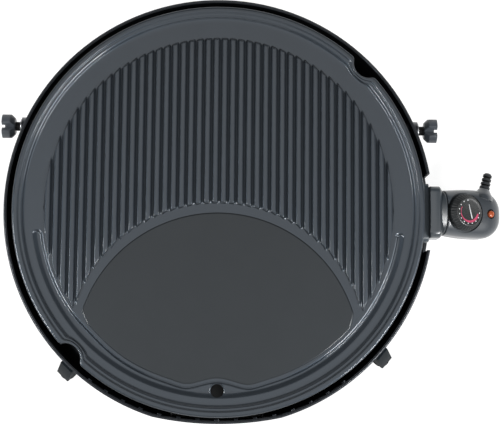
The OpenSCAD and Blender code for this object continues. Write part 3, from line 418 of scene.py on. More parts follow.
def lathe(name, profile, steps=64, place=None, radius_at=None):
    """A closed turned form. The profile runs from the axis to the axis, as radius and height."""
    points = []
    rows = []
    for radius, height in profile:
        if radius == 0:
            rows.append(add_row(points, [(0, 0, height)]) * steps)
        else:
            rows.append(add_row(points, circle(radius, height, steps, radius_at)))
    return closed_mesh(name, points, skin(rows), place)


def turned_ring(name, section, steps, place):
    """A closed ring turned from a section that stays off the axis, as radius and height."""
    points = []
    rows = [add_row(points, circle(radius, height, steps)) for radius, height in section]
    return closed_mesh(name, points, skin(rows + rows[:1]), place)


def capped(name, rings, place=None):
    """A closed form through rings of equally many points, with a face across each end."""
    points = []
    rows = [add_row(points, ring) for ring in rings]
    return closed_mesh(name, points, skin(rows) + [rows[-1], rows[0][::-1]], place)


# ---------------------------------------------------------------- recipes for what repeats


class Recipe:
    """A Geometry Nodes tree with named inputs for its sizes."""

    def __init__(self, name, sizes):
        self.name = name
        self.sizes = sizes
        self.tree = bpy.data.node_groups.new(name, "GeometryNodeTree")
        sockets = self.tree.interface
        sockets.new_socket(name="Geometry", in_out="INPUT", socket_type="NodeSocketGeometry")
        for label, value in sizes.items():
            kind = "NodeSocketInt" if isinstance(value, int) else "NodeSocketFloat"
            sockets.new_socket(name=label, in_out="INPUT", socket_type=kind)
        sockets.new_socket(name="Geometry", in_out="OUTPUT", socket_type="NodeSocketGeometry")
        self.source = self.tree.nodes.new("NodeGroupInput")

    def size(self, label):
        return self.source.outputs[label]

    def feed(self, socket, value):
        if isinstance(value, bpy.types.Node):
            value = value.outputs[0]
        if isinstance(value, bpy.types.NodeSocket):
            self.tree.links.new(value, socket)
        else:
            socket.default_value = value

    def add(self, kind, inputs=None, **settings):
        node = self.tree.nodes.new(kind)
        for key, value in settings.items():
            setattr(node, key, value)
        for key, value in (inputs or {}).items():
            self.feed(node.inputs[key], value)
        return node

    def sum(self, operation, *values):
        node = self.add("ShaderNodeMath", operation=operation)
        for socket, value in zip(node.inputs, values):
            self.feed(socket, value)
        return node.outputs[0]

    def ramp(self, value, start, end, to_start, to_end):
        node = self.add("ShaderNodeMapRange", {"Value": value, "From Min": start, "From Max": end,
                                               "To Min": to_start, "To Max": to_end})
        return node.outputs["Result"]

    def split(self, vector):
        return self.add("ShaderNodeSeparateXYZ", {0: vector}).outputs

    def point(self, x, y, z):
        return self.add("ShaderNodeCombineXYZ", {0: x, 1: y, 2: z}).outputs[0]

    def moved(self, shape, position):
        return self.add("GeometryNodeSetPosition", {"Geometry": shape, "Position": position})

    def bake(self, shape, material, start=None):
        """Runs the tree once and gives its result as a plain mesh."""
        whole = self.add("GeometryNodeRealizeInstances", {"Geometry": shape})
        painted = self.add("GeometryNodeSetMaterial", {"Geometry": whole, "Material": material})
        self.add("NodeGroupOutput", {0: painted})
        holder = bpy.data.objects.new(self.name, start or bpy.data.meshes.new(self.name))
        scene.collection.objects.link(holder)
        modifier = holder.modifiers.new(self.name, "NODES")
        modifier.node_group = self.tree
        for item in self.tree.interface.items_tree:
            if item.in_out == "INPUT" and item.name in self.sizes:
                modifier[item.identifier] = self.sizes[item.name]
        bpy.context.view_layer.update()
        mesh = bpy.data.meshes.new_from_object(holder.evaluated_get(bpy.context.evaluated_depsgraph_get()))
        bpy.data.objects.remove(holder)
        return mesh


# ---------------------------------------------------------------- cooking plate

FLOOR_Z = 85.0
UNDER_Z = 80.2
CUT_Z = 80.5
PLATE_R = 220.0
LIP_FOOT_R = 202.5
LIP_W = 17.5

# Finger notches: their turns, the circle that bites and the small circles of their corners
NOTCH_TURNS = (45, 225)
NOTCH_CENTRE_R = 226.25
NOTCH_R = 16.25
NOTCH_HALF_TURN = 3.48
CORNER_CENTRE_R = 214.0
CORNER_R = 6.0
CORNER_TURN = 4.84

# Gutter: its edges, its depth, the turn past the X axis where it ends, and how it bends
GUTTER_IN_R = 190.1
GUTTER_OUT_R = 200.3
GUTTER_MID_R = (GUTTER_IN_R + GUTTER_OUT_R) / 2
GUTTER_END_R = (GUTTER_OUT_R - GUTTER_IN_R) / 2
GUTTER_DEEP = 2.6
GUTTER_END = 8.3
GUTTER_SHIFT = 1.1
NOTCH_DIP = 2.0
NOTCH_DIP_TURN = 9
BAY_DEEP = 8.2
BAY_TURN = 11
BAY_SWELL = 1.2
BAY_SWELL_TURN = 3.5
# Distance past the gutter's inner edge, and how deep the gutter is there
GUTTER_EDGE = ((-0.4, 0.0), (-0.1, 0.02), (0.2, 0.1), (1.2, 0.54), (1.5, 0.78), (1.8, 1.3), (2.2, 1.95),
               (2.6, 2.35), (3.1, 2.55), (3.8, GUTTER_DEEP))
# Distance inside the gutter's outer edge where its floor starts to fall, and where it is all down
GUTTER_RISE = (-1.0, 6.5)

DRAIN_TURN = -90
DRAIN_Y = -192.0
DRAIN_R = 7.0
# Section of the drain's bead: distance from the hole's wall, and height above the gutter
DRAIN_BEAD = ((0, -3.5), (0, 0.1), (0.25, 0.42), (0.65, 0.52), (1.05, 0.38), (1.5, -0.2), (1.5, -3.5))

# Distance from the plate's edge, and height above the table
LIP_PROFILE = [
    (0.0, UNDER_Z), (0.0, 84.0), (0.0, 87.4), (0.08, 88.3), (0.3, 89.0), (0.55, 89.35), (1.35, 89.7),
    (1.8, 89.85), (2.4, 89.9), (4.6, 89.9), (5.3, 89.86), (5.65, 89.72), (6.2, 89.33), (6.5, 88.9),
    (6.9, 88.4), (7.35, 88.2), (8.0, 88.12), (9.2, 88.12), (9.55, 88.02), (9.75, 87.9), (10.75, 87.19),
    (11.1, 86.8), (11.5, 86.15), (12.1, 85.6), (12.9, 85.3), (14.0, 85.12), (15.2, 85.04), (16.5, 85.0),
    (17.5, 85.0),
]
# The same for the hollow under the lip
UNDER_PROFILE = [(15.5, UNDER_Z), (11.0, 85.2), (4.2, 85.2), (4.0, 85.0), (4.0, UNDER_Z)]

# Rows of points across the plate's top: steps inward from the gutter's outer edge, shares of the
# gutter's middle, steps outward from its inner edge, and radii on the flat floor
OUTER_STEPS = (-1.2, -0.7, -0.3, 0.1, 0.5, 0.9, 1.3, 1.7, 2.2, 2.8, 3.4)
MIDDLE_SHARES = (0.65, 0.35)
INNER_STEPS = (3.6, 3.2, 2.8, 2.4, 2.0, 1.6, 1.2, 0.9, 0.5, 0.2, 0.05, -0.1, -0.25, -0.4, -1.2, -3, -6)
FLAT_RADII = (165.0, 130.0, 90.0, 45.0)
# Turn, reach and step of the places where the outline changes, in degrees
FINE_TURNS = (
    (NOTCH_TURNS[0], 7.0, 0.2), (NOTCH_TURNS[1], 7.0, 0.2), (-GUTTER_END, 2.4, 0.12),
    (GUTTER_END - 180, 2.4, 0.12), (DRAIN_TURN, 16.0, 0.4),
)


def plate_angles():
    """Angles round the plate in degrees, closer together where its outline changes."""
    angles = set(round(a * 0.8, 3) for a in range(450))
    for centre, reach, step in FINE_TURNS:
        angles = {a for a in angles if abs((a - centre + 180) % 360 - 180) > reach + step / 2}
        for k in range(-int(reach / step), int(reach / step) + 1):
            angles.add(round((centre + k * step) % 360, 3))
    return np.array(sorted(angles))


def off_angle(angles, centre):
    """How far each angle is from a centre, either way round."""
    return np.abs((angles - centre + 180) % 360 - 180)


def arc_radius(centre_r, arc_r, swing, side):
    """Distance from the plate's centre to a small circle's near or far side."""
    across = centre_r * np.sin(swing)
    return centre_r * np.cos(swing) + side * np.sqrt(np.maximum(arc_r ** 2 - across ** 2, 0))


def outer_edge(angles):
    """Radius of the plate's edge, with its two finger notches and their rounded corners."""
    radius = np.full(len(angles), PLATE_R)
    for centre in NOTCH_TURNS:
        off = off_angle(angles, centre)
        corner = arc_radius(CORNER_CENTRE_R, CORNER_R, np.radians(CORNER_TURN - off), 1)
        radius = np.where((off >= NOTCH_HALF_TURN) & (off < CORNER_TURN), corner, radius)
        bite = arc_radius(NOTCH_CENTRE_R, NOTCH_R, np.radians(off), -1)
        radius = np.where(off < NOTCH_HALF_TURN, bite, radius)
    return radius


def gutter_inner_edge(angles):
    """Radius of the gutter's inner edge, which swings in round the drain."""
    off = off_angle(angles, DRAIN_TURN)
    swell = BAY_SWELL * np.exp(-((off - BAY_TURN) / BAY_SWELL_TURN) ** 2)
    bay = np.where(off < BAY_TURN, BAY_DEEP * 0.5 * (1 + np.cos(np.pi * off / BAY_TURN)), 0)
    dip = NOTCH_DIP * np.exp(-(off_angle(angles, NOTCH_TURNS[1]) / NOTCH_DIP_TURN) ** 2)
    return GUTTER_IN_R + GUTTER_SHIFT * np.cos(np.radians(angles)) + swell - bay - dip


def smooth_rise(value, low, high):
    """0 up to the low value and 1 from the high one, with a soft start and end."""
    share = np.clip((value - low) / (high - low), 0, 1)
    return share * share * (3 - 2 * share)


def gutter_height(radius, angles, inner):
    """Height of the floor at a radius for each angle, with the gutter and its round ends."""
    steps, depths = zip(*GUTTER_EDGE)
    past = off_angle(angles, DRAIN_TURN) - (90 - GUTTER_END)
    into = np.interp(radius - inner, steps, depths)
    out = smooth_rise(GUTTER_OUT_R - radius, *GUTTER_RISE)
    swing = np.radians(np.clip(past, 0, 80))
    far = np.hypot(radius * np.cos(swing) - GUTTER_MID_R, radius * np.sin(swing))
    edge = GUTTER_END_R - far
    inside = np.interp(edge, steps, depths)
    end = np.minimum(inside, GUTTER_DEEP * out)
    return FLOOR_Z - np.where(past > 0, end, into * out)


def plate_top():
    """The plate's top and edge: lip, gutter, notches and flat floor, closed by a flat bottom."""
    angles = plate_angles()
    turn = np.radians(angles)
    edge = outer_edge(angles)
    inner = gutter_inner_edge(angles)
    rows = []
    for distance, height in UNDER_PROFILE + LIP_PROFILE:
        rows.append((edge - (edge - LIP_FOOT_R) * distance / LIP_W, np.full(len(angles), height)))
    for step in OUTER_STEPS:
        radius = np.full(len(angles), GUTTER_OUT_R - step)
        rows.append((radius, gutter_height(radius, angles, inner)))
    for share in MIDDLE_SHARES:
        radius = inner + INNER_STEPS[0] + (GUTTER_OUT_R - OUTER_STEPS[-1] - inner - INNER_STEPS[0]) * share
        rows.append((radius, gutter_height(radius, angles, inner)))
    for step in INNER_STEPS:
        radius = inner + step
        rows.append((radius, gutter_height(radius, angles, inner)))
    for radius in FLAT_RADII:
        rows.append((np.full(len(angles), radius), np.full(len(angles), FLOOR_Z)))
    points = []
    numbers = [add_row(points, [(0, 0, UNDER_Z)]) * len(angles)]
    for radius, height in rows:
        numbers.append(add_row(points, zip(radius * np.cos(turn), radius * np.sin(turn), height)))
    numbers.append(add_row(points, [(0, 0, FLOOR_Z)]) * len(angles))
    return closed_mesh("plate_top", points, skin(numbers))


def plate_underside():
    """The lower part of the CAD plate, with its ring, channel and bosses, closed on top."""
    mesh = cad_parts["grill_plate"].data.copy()
    form = bmesh.new()
    form.from_mesh(mesh)
    bmesh.ops.remove_doubles(form, verts=form.verts, dist=MERGE_REACH)
    everything = list(form.verts) + list(form.edges) + list(form.faces)
    cut = bmesh.ops.bisect_plane(form, geom=everything, plane_co=(0, 0, CUT_Z * MM), plane_no=(0, 0, 1),
                                 clear_outer=True)
    rim = [item for item in cut["geom_cut"] if isinstance(item, bmesh.types.BMEdge)]
    bmesh.ops.triangle_fill(form, use_beauty=True, use_dissolve=False, edges=rim)
    bmesh.ops.recalc_face_normals(form, faces=form.faces)
    form.to_mesh(mesh)
    form.free()
    return mesh


def drain_cutter():
    """A plug from below the plate to above it, a little wider than the drain."""
    low, high, radius = 70, 90, DRAIN_R + 0.2
    profile = [(0, low), (radius, low), (radius, high), (0, high)]
    return lathe("drain_cutter", profile, 48, Matrix.Translation((0, DRAIN_Y * MM, 0)))


def drain_bead():
    """The drain's rounded lip, which stands a little proud of the gutter."""
    z = FLOOR_Z - GUTTER_DEEP
    section = [(DRAIN_R + step, z + lift) for step, lift in DRAIN_BEAD]
    return turned_ring("drain_bead", section, 48, Matrix.Translation((0, DRAIN_Y * MM, 0)))


ZONE_R = 150.3
ZONE_CENTRE_Y = -154.0
ZONE_GAP = 2.8
ZONE_REAR_CORNER = (143.7, -110.0)
ZONE_FRONT_CORNER = (138.8, -124.3)
# Distance inward from the zone's outline, and height above the table
ZONE_EDGE = ((0, 84.8), (0.0, 85.05), (0.12, 85.25), (0.3, 85.4), (1.0, 85.7), (1.3, 85.78), (1.8, 85.8))


def smooth_zone():
    """The raised smooth zone: an arc behind, two short sides and the gutter's line in front."""
    x, y = ZONE_REAR_CORNER
    start = math.degrees(math.atan2(y - ZONE_CENTRE_Y, x))
    outline = []
    for k in range(97):
        turn = math.radians(start + (180 - 2 * start) * k / 96)
        outline.append((ZONE_R * math.cos(turn), ZONE_CENTRE_Y + ZONE_R * math.sin(turn)))
    x, y = ZONE_FRONT_CORNER
    first = math.degrees(math.atan2(y, x))
    angles = np.linspace(-180 - first, first, 161)
    radius = gutter_inner_edge(angles) - ZONE_GAP
    for angle, r in zip(angles, radius):
        turn = math.radians(angle)
        outline.append((r * math.cos(turn), r * math.sin(turn)))
    ring = np.array(outline)
    before = np.roll(ring, 1, axis=0)
    after = np.roll(ring, -1, axis=0)
    along = after - before
    along /= np.linalg.norm(along, axis=1)[:, None]
    inward = np.stack([-along[:, 1], along[:, 0]], axis=1)
    rings = [[(x, y, height) for x, y in ring + inward * inset] for inset, height in ZONE_EDGE]
    return capped("smooth_zone", rings)


# Half of a rib's section, from its foot up to the middle of its top
RIB_SECTION = ((4.4, -0.4), (4.4, 0.08), (3.9, 0.25), (3.5, 0.65), (3.15, 1.3), (2.85, 2.0), (2.6, 2.52),
               (2.42, 2.78), (1.92, 3.06), (1.6, 3.16), (0.0, 3.2))
RIB_STEPS = 25
RIB_COUNT = 42
RIB_PITCH = 8.9
# Shares of a rib's points that lie before its front end and before its rear end
FRONT_SHARE = 0.32
REAR_SHARE = 0.68


def rib_bar():
    """One rib, 1 mm long, which the recipe repeats, draws out and shapes."""
    section = list(RIB_SECTION) + [(-x, z) for x, z in reversed(RIB_SECTION[:-1])]
    return capped("rib_bar", [[(x, k / RIB_STEPS, z) for x, z in section] for k in range(RIB_STEPS + 1)])


def cooking_ribs():
    """The ribs, each a bar whose ends follow the round field and the smooth zone."""
    recipe = Recipe("cooking_ribs", {"Ribs": RIB_COUNT, "Pitch": RIB_PITCH, "Floor": FLOOR_Z,
                                     "Field radius": 186.5, "Zone radius": 159.0, "Zone centre": -153.0,
                                     "End length": 3.2, "End width": 0.55})
    span = recipe.sum("MULTIPLY", recipe.size("Pitch"), -(RIB_COUNT - 1) / 2)
    line = recipe.add("GeometryNodeMeshLine", {"Count": recipe.size("Ribs"),
                                               "Start Location": recipe.point(span, 0.0, 0.0),
                                               "Offset": recipe.point(recipe.size("Pitch"), 0.0, 0.0)})
    bar = recipe.add("GeometryNodeTransform", {"Geometry": recipe.source.outputs["Geometry"],
                                               "Scale": (1 / MM, 1 / MM, 1 / MM)})
    row = recipe.add("GeometryNodeInstanceOnPoints", {"Points": line, "Instance": bar})
    whole = recipe.add("GeometryNodeRealizeInstances", {"Geometry": row})
    x, y, z = recipe.split(recipe.add("GeometryNodeInputPosition"))
    aside = recipe.sum("SUBTRACT", recipe.sum("FLOORED_MODULO", x, recipe.size("Pitch")),
                       recipe.sum("MULTIPLY", recipe.size("Pitch"), 0.5))

    def reach(radius):
        square = recipe.sum("MULTIPLY", radius, radius)
        square = recipe.sum("SUBTRACT", square, recipe.sum("MULTIPLY", x, x))
        return recipe.sum("SQRT", recipe.sum("MAXIMUM", square, 0.0))

    rear = reach(recipe.size("Field radius"))
    front = recipe.sum("MAXIMUM", recipe.sum("MULTIPLY", rear, -1.0),
                       recipe.sum("ADD", recipe.size("Zone centre"), reach(recipe.size("Zone radius"))))
    end = recipe.size("End length")
    middle = recipe.sum("SUBTRACT", recipe.sum("SUBTRACT", rear, front), recipe.sum("MULTIPLY", end, 2.0))
    along = recipe.sum("ADD", recipe.ramp(y, 0.0, FRONT_SHARE, 0.0, end),
                       recipe.ramp(y, FRONT_SHARE, REAR_SHARE, 0.0, middle))
    along = recipe.sum("ADD", along, recipe.ramp(y, REAR_SHARE, 1.0, 0.0, end))
    from_front = recipe.ramp(y, 0.0, FRONT_SHARE, 0.0, 1.0)
    from_rear = recipe.ramp(y, REAR_SHARE, 1.0, 1.0, 0.0)
    nearer = recipe.sum("MINIMUM", from_front, from_rear)
    rest = recipe.sum("SUBTRACT", 1.0, nearer)
    round_end = recipe.sum("SQRT", recipe.sum("SUBTRACT", 1.0, recipe.sum("MULTIPLY", rest, rest)))
    rise = recipe.sum("MULTIPLY", recipe.sum("MAXIMUM", z, 0.0), round_end)
    height = recipe.sum("ADD", recipe.sum("ADD", rise, recipe.sum("MINIMUM", z, 0.0)), recipe.size("Floor"))
    share = recipe.ramp(round_end, 0.0, 1.0, recipe.size("End width"), 1.0)
    inward = recipe.sum("MULTIPLY", aside, recipe.sum("SUBTRACT", 1.0, share))
    across = recipe.sum("SUBTRACT", x, inward)
    placed = recipe.moved(whole, recipe.point(across, recipe.sum("ADD", front, along), height))
    metre = recipe.add("GeometryNodeTransform", {"Geometry": placed, "Scale": (MM, MM, MM)})
    return recipe.bake(metre, PLATE_COAT, rib_bar())


def build_plate():
    top = cut_away(plate_top(), drain_cutter())
    top = joined("cooking_plate", top, plate_underside(), drain_bead())
    fit_piece("cooking_plate", top, PLATE_COAT, "plate", ("grill_plate",), crease=50.0)
    fit_piece("cooking_ribs", cooking_ribs(), PLATE_COAT, "plate", crease=60.0)
    fit_piece("smooth_zone", smooth_zone(), SMOOTH_COAT, "plate", crease=60.0)


# ---------------------------------------------------------------- bowl, feet and drawer

RIM_R = 228.5
RIM_Z = 79.0
FRONT_R = 330.0
FRONT_Y = 103.2
CUTOUT_HALF_W = 41.2
BEAD_R = 1.55
BEAD_INSET = 1.5
BEAD_STEPS = 360
SHANK_L = 5.6


def rim_bead():
    """A rolled bead along the bowl's rim, open at the controller's cut-out."""
    recipe = Recipe("rim_bead", {"Bead radius": BEAD_R * MM, "Bead sides": 12})
    start = math.asin(CUTOUT_HALF_W / RIM_R)
    path = []
    for k in range(BEAD_STEPS + 1):
        turn = start + (2 * math.pi - 2 * start) * k / BEAD_STEPS
        x, y = RIM_R * math.cos(turn), RIM_R * math.sin(turn)
        flat = FRONT_Y - math.sqrt((FRONT_R - BEAD_INSET) ** 2 - x * x)
        path.append((x, max(y, flat), RIM_Z))
    line = bpy.data.meshes.new("rim_path")
    line.from_pydata([Vector(p) * MM for p in path], [(k, k + 1) for k in range(len(path) - 1)], [])
    curve = recipe.add("GeometryNodeMeshToCurve", {"Mesh": recipe.source.outputs["Geometry"]})
    section = recipe.add("GeometryNodeCurvePrimitiveCircle", {"Resolution": recipe.size("Bead sides"),
                                                              "Radius": recipe.size("Bead radius")})
    bead = recipe.add("GeometryNodeCurveToMesh", {"Curve": curve, "Profile Curve": section.outputs["Curve"],
                                                  "Fill Caps": True})
    return recipe.bake(bead, BOWL_PAINT, line)


def blacken_shank(grip):
    """The end of a clamp's grip nearest the bowl is black."""
    near = min(abs(point.co.x) for point in grip.data.vertices)
    repaint(grip, BLACK_TRIM, lambda middle: abs(middle.x) < near + SHANK_L * MM)


def build_base():
    eased("base_bowl", "bowl_shell", BOWL_PAINT, "base", 0.5, 1)
    fit_piece("bowl_rim_bead", rim_bead(), BOWL_PAINT, "base", crease=50.0)
    eased("drip_drawer", "drawer_tray", DRAWER_PAINT, "drawer", 0.6)
    eased("socket_guard", "guard_sleeve", GUARD_STEEL, "plate", 0.7)
    for corner in ("front_left", "front_right", "rear_left", "rear_right"):
        eased("foot_" + corner, "cast_foot_" + corner, FOOT_NYLON, "base", 1.2, 3)
        eased("pad_" + corner, "rubber_pad_" + corner, PAD_RUBBER, "base", 0.8)
    for side in ("left", "right"):
        grip = eased(side + "_clamp_grip", side + "_grip_moulding", GRIP_PLASTIC, side + "_knob",
                     1.3, 3)
        blacken_shank(grip)
        eased(side + "_clamp_washer", side + "_washer_disc", BRIGHT_STEEL, side + "_washer", 0.3)


# ---------------------------------------------------------------- controller

# The housing's own frame starts at its seam with the collar and runs along its slope
SEAM = (239.5, 0.0, 70.0)
HOUSING_TILT = 22.0
HOUSING = Matrix.Translation(Vector(SEAM) * MM) @ Matrix.Rotation(math.radians(HOUSING_TILT), 4, "Y")
HOUSING_LENGTH = 70.0
END_START = 44.0
SEAM_HALF_W = 24.2
CHEEK_X = 36
CHEEK_SWELL = 2.5
SHELL_H = 17.0
PARTING_GAP = 0.12
HALF_STEPS = 36
# Fullness of the end seen from above and from the side, and of the halves' sections: at the seam,
# how much it grows, and where it is full
END_POWERS = (2.15, 3.0)
UPPER_POWER = (2.3, 0.9)
LOWER_POWER = (2.6, 0.8)
FULL_X = 24
# Distances along the housing, how far its first edge draws in there, and turns round its end
STATIONS = (0.45, 0.7, 1.3, 2.4, 5, 8, 12, 16, 20, 24, 28, 32, 36, 40, 44)
EDGE_INSET = {0.45: 0.7, 0.7: 0.3, 1.3: 0.05}
END_SWINGS = (10, 20, 30, 38, 46, 54, 61, 67, 72, 77, 81, 85, 88)

# Collar: its height and half width, and where it stands with how far its edges draw in there
COLLAR_LOW = 50.0
COLLAR_HIGH = 84.0
COLLAR_HALF_W = 28.0
COLLAR_TOP_R = 7
COLLAR_FOOT_R = 5
COLLAR_RINGS = ((225.85, 1.0), (226.1, 0.45), (226.6, 0.1), (227.2, 0.0), (236.2, 0.0), (236.8, 0.25),
                (237.4, 0.8), (239.3, 3.2), (239.6, 3.6))
# Neck and seam: half width, height up, height down and fullness of their rounded sections
NECK_X = 236.0
NECK_Z = 67.0
NECK_FOOT = (24.0, 13.6, 13.0, 2.6)
NECK_TOP = (SEAM_HALF_W, 15.8, 15.0, 2.3)
NECK_RINGS = ((-1.6, 0.0), (-0.85, 0.1), (-0.5, 0.5), (-0.45, 1.6))
SEAM_SECTION = (22.9, 14.5, 13.7, 2.4)
SEAM_REACH = 2.0

DIAL_X = 20.5
DIAL_BASE_Z = 17.3
DIAL_FRAME = HOUSING @ Matrix.Translation((DIAL_X * MM, 0, DIAL_BASE_Z * MM))
POCKET_R = 21.6
POCKET_FLOOR = 12.4
LENS_X = 53.0
LENS_FRAME = HOUSING @ Matrix.Translation((LENS_X * MM, 0, 0))
LENS_HOLE_R = 5.2
LENS_FLOOR = 14.6
CUT_TOP = 30

RELIEF_PLACE = (50.0, 24.3, 7.0)
RELIEF_LEAN = 16.0
RELIEF = (
    HOUSING @ Matrix.Translation(Vector(RELIEF_PLACE) * MM)
    @ Matrix.Rotation(math.radians(-RELIEF_LEAN), 4, "Z") @ Matrix.Rotation(math.radians(-90), 4, "X")
)
# The housing's swell round the strain relief, as radius and height along the relief
FLARE_PROFILE = [
    (0, -9), (12.0, -9), (11.6, -6), (10.6, -3.6), (9.3, -1.6), (8.0, 0.2), (7.0, 1.7), (6.5, 2.7),
    (6.1, 3.1), (5.0, 3.2), (0, 3.2),
]


def arched_section(half_w, low, high, top_r, foot_r, steps=10):
    """A ring of points across the controller: flat sides, rounded top and foot."""
    corners = [(half_w - foot_r, low + foot_r, foot_r, -90), (half_w - top_r, high - top_r, top_r, 0),
               (-half_w + top_r, high - top_r, top_r, 90), (-half_w + foot_r, low + foot_r, foot_r, 180)]
    ring = []
    for y, z, r, start in corners:
        for k in range(steps + 1):
            turn = math.radians(start + 90 * k / steps)
            ring.append((y + r * math.cos(turn), z + r * math.sin(turn)))
    return ring


def ring_at(x, ring):
    """A ring of widths and heights, stood at its place along the controller."""
    return [(x, y, z) for y, z in ring]


def collar():
    """The collar that plugs onto the guard, and its neck up to the housing's seam."""
    rings = []
    for x, inset in COLLAR_RINGS:
        half, low, high = COLLAR_HALF_W - inset, COLLAR_LOW + inset, COLLAR_HIGH - inset
        rings.append(ring_at(x, arched_section(half, low, high, COLLAR_TOP_R - inset / 2, COLLAR_FOOT_R)))
    body = capped("collar_body", rings)
    rings = [[(NECK_X, y, z + NECK_Z) for y, z in barrel_section(*NECK_FOOT)]]
    half_w, up, down, power = NECK_TOP
    for x, inset in NECK_RINGS:
        ring = barrel_section(half_w - inset, up - inset, down - inset, power)
        rings.append([tuple(HOUSING @ (Vector(point) * MM) / MM) for point in ring_at(x, ring)])
    return joined("collar", body, capped("collar_neck", rings))


def seam_ring():
    """The black joint that shows in the gap between the collar's neck and the housing."""
    ring = barrel_section(*SEAM_SECTION)
    return capped("seam_ring", [ring_at(x, ring) for x in (-SEAM_REACH, SEAM_REACH)], HOUSING)


def barrel_section(half_w, up, down, power, steps=40):
    """A rounded ring, fuller than an ellipse as the power grows."""
    ring = []
    for k in range(steps):
        turn = 2 * math.pi * k / steps
        c, s = math.cos(turn), math.sin(turn)
        y = half_w * math.copysign(abs(c) ** (2 / power), c)
        z = (up if s > 0 else down) * math.copysign(abs(s) ** (2 / power), s)
        ring.append((y, z))
    return ring


def half_width(x):
    """Half the housing's width: it swells from the seam to its cheeks and rounds off at the end."""
    share = math.sin(math.pi / 2 * min(x / CHEEK_X, 1))
    return (SEAM_HALF_W + CHEEK_SWELL * share) * end_share(x, END_POWERS[0])


def end_share(x, power):
    """How much of the full size is left on the way round the housing's end."""
    if x <= END_START:
        return 1.0
    share = min((x - END_START) / (HOUSING_LENGTH - END_START), 1.0)
    return max(1 - share ** power, 0) ** (1 / power)


def half_shell(name, upper):
    """One half of the housing, with its flat face at the parting line."""
    reach = HOUSING_LENGTH - END_START
    stations = list(STATIONS) + [END_START + reach * math.sin(math.radians(a)) for a in END_SWINGS]
    sign, (start, growth) = (1, UPPER_POWER) if upper else (-1, LOWER_POWER)
    points = []
    rows = []
    for x in stations:
        inset = EDGE_INSET.get(x, 0.0)
        wide = half_width(x) - inset
        tall = (SHELL_H - inset) * end_share(x, END_POWERS[1])
        power = start + growth * min(x / FULL_X, 1)
        row = []
        for k in range(HALF_STEPS + 1):
            turn = math.pi * k / HALF_STEPS
            c, s = math.cos(turn), math.sin(turn)
            y = wide * math.copysign(abs(c) ** (2 / power), c)
            z = PARTING_GAP + (tall - PARTING_GAP) * abs(s) ** (2 / power)
            row.append((x, y, sign * z))
        rows.append(add_row(points, row))
    tip = add_row(points, [(HOUSING_LENGTH, 0, sign * PARTING_GAP)])
    flat_face = [row[0] for row in rows] + tip + [row[-1] for row in reversed(rows)]
    faces = skin(rows + [tip * (HALF_STEPS + 1)], around=False) + [rows[0], flat_face]
    return closed_mesh(name, points, faces, HOUSING)


def build_housing():
    pocket = [(0, POCKET_FLOOR), (POCKET_R, POCKET_FLOOR), (POCKET_R + 0.6, CUT_TOP), (0, CUT_TOP)]
    pocket = lathe("pocket", pocket, 96, HOUSING @ Matrix.Translation((DIAL_X * MM, 0, 0)))
    lamp_hole = [(0, LENS_FLOOR), (LENS_HOLE_R, LENS_FLOOR), (LENS_HOLE_R, CUT_TOP), (0, CUT_TOP)]
    lamp_hole = lathe("lamp_hole", lamp_hole, 40, LENS_FRAME)
    upper = cut_away(half_shell("upper_half", True), pocket, lamp_hole)
    upper = joined("upper_housing", upper, lathe("relief_flare", FLARE_PROFILE, 40, RELIEF))
    fit_piece("upper_housing", upper, SHELL_PLASTIC, "controller", ("controller_upper_shell",),
              crease=38.0)
    fit_piece("lower_housing", half_shell("lower_half", False), LOWER_PLASTIC, "controller",
              ("controller_lower_shell",), crease=38.0)
    fit_piece("seam_ring", seam_ring(), BLACK_TRIM, "controller")
    fit_piece("plug_collar", collar(), COLLAR_PLASTIC, "controller", ("controller_collar",),
              crease=38.0)


# ---------------------------------------------------------------- dial, indicator and strain relief

KNURLS = 36
KNURL_DEEP = 0.55
# Radii between which the knurls rise, and the radius past which the dial has its duller finish
KNURL_RISE = (14.6, 16.4)
SKIRT_R = 15.2
DIAL_PROFILE = [
    (0, -4.4), (18.9, -4.4), (19.4, -4.1), (19.6, -3.5), (19.6, 1.4), (19.45, 1.9), (19.0, 2.3),
    (17.9, 3.9), (16.8, 5.5), (15.9, 6.7), (15.4, 7.15), (14.9, 7.4), (14.4, 7.42), (13.9, 7.3),
    (12.0, 7.22), (9.0, 7.1), (5.0, 6.98), (0, 6.92),
]
FACE_R = 13.9
FACE_Z = 6.92
FACE_DISH = 0.38
PRINT_T = 0.2
DOTS = 12
DOT_R = 12.6
DOT_START = 98.0
DOT_STEP = 23.45
# The arc: its turns, its radius and half width at the start, and how much they grow
ARC_STEPS = 48
ARC_START = 150
ARC_SPAN = 200
ARC_R = (10.2, 0.5)
ARC_HALF_W = (0.3, 0.95)
# The index: where it starts, how far it runs, and its half width at even steps along it
INDEX_START = (-0.3, 8.0)
INDEX_RUN = (3.9, -15.3)
INDEX_STEPS = 8
INDEX_HALF_W = [0.25 + 0.35 * k / INDEX_STEPS for k in range(INDEX_STEPS)] + [0.35]


def dial_body():
    """The dial: a dished face in a sloping knurled skirt."""
    def ridged(radius, height, turn):
        share = smooth_rise(radius, *KNURL_RISE) * (1 if height > 0.8 else 0.6)
        wave = 0.5 + 0.5 * math.cos(KNURLS * turn)
        return radius - KNURL_DEEP * share * (1 - wave) ** 2

    return lathe("dial_body", DIAL_PROFILE, KNURLS * 8, DIAL_FRAME, ridged)


def face_height(radius):
    """Height of the dial's slightly dished face."""
    return FACE_Z + FACE_DISH * (min(radius, FACE_R) / FACE_R) ** 1.5


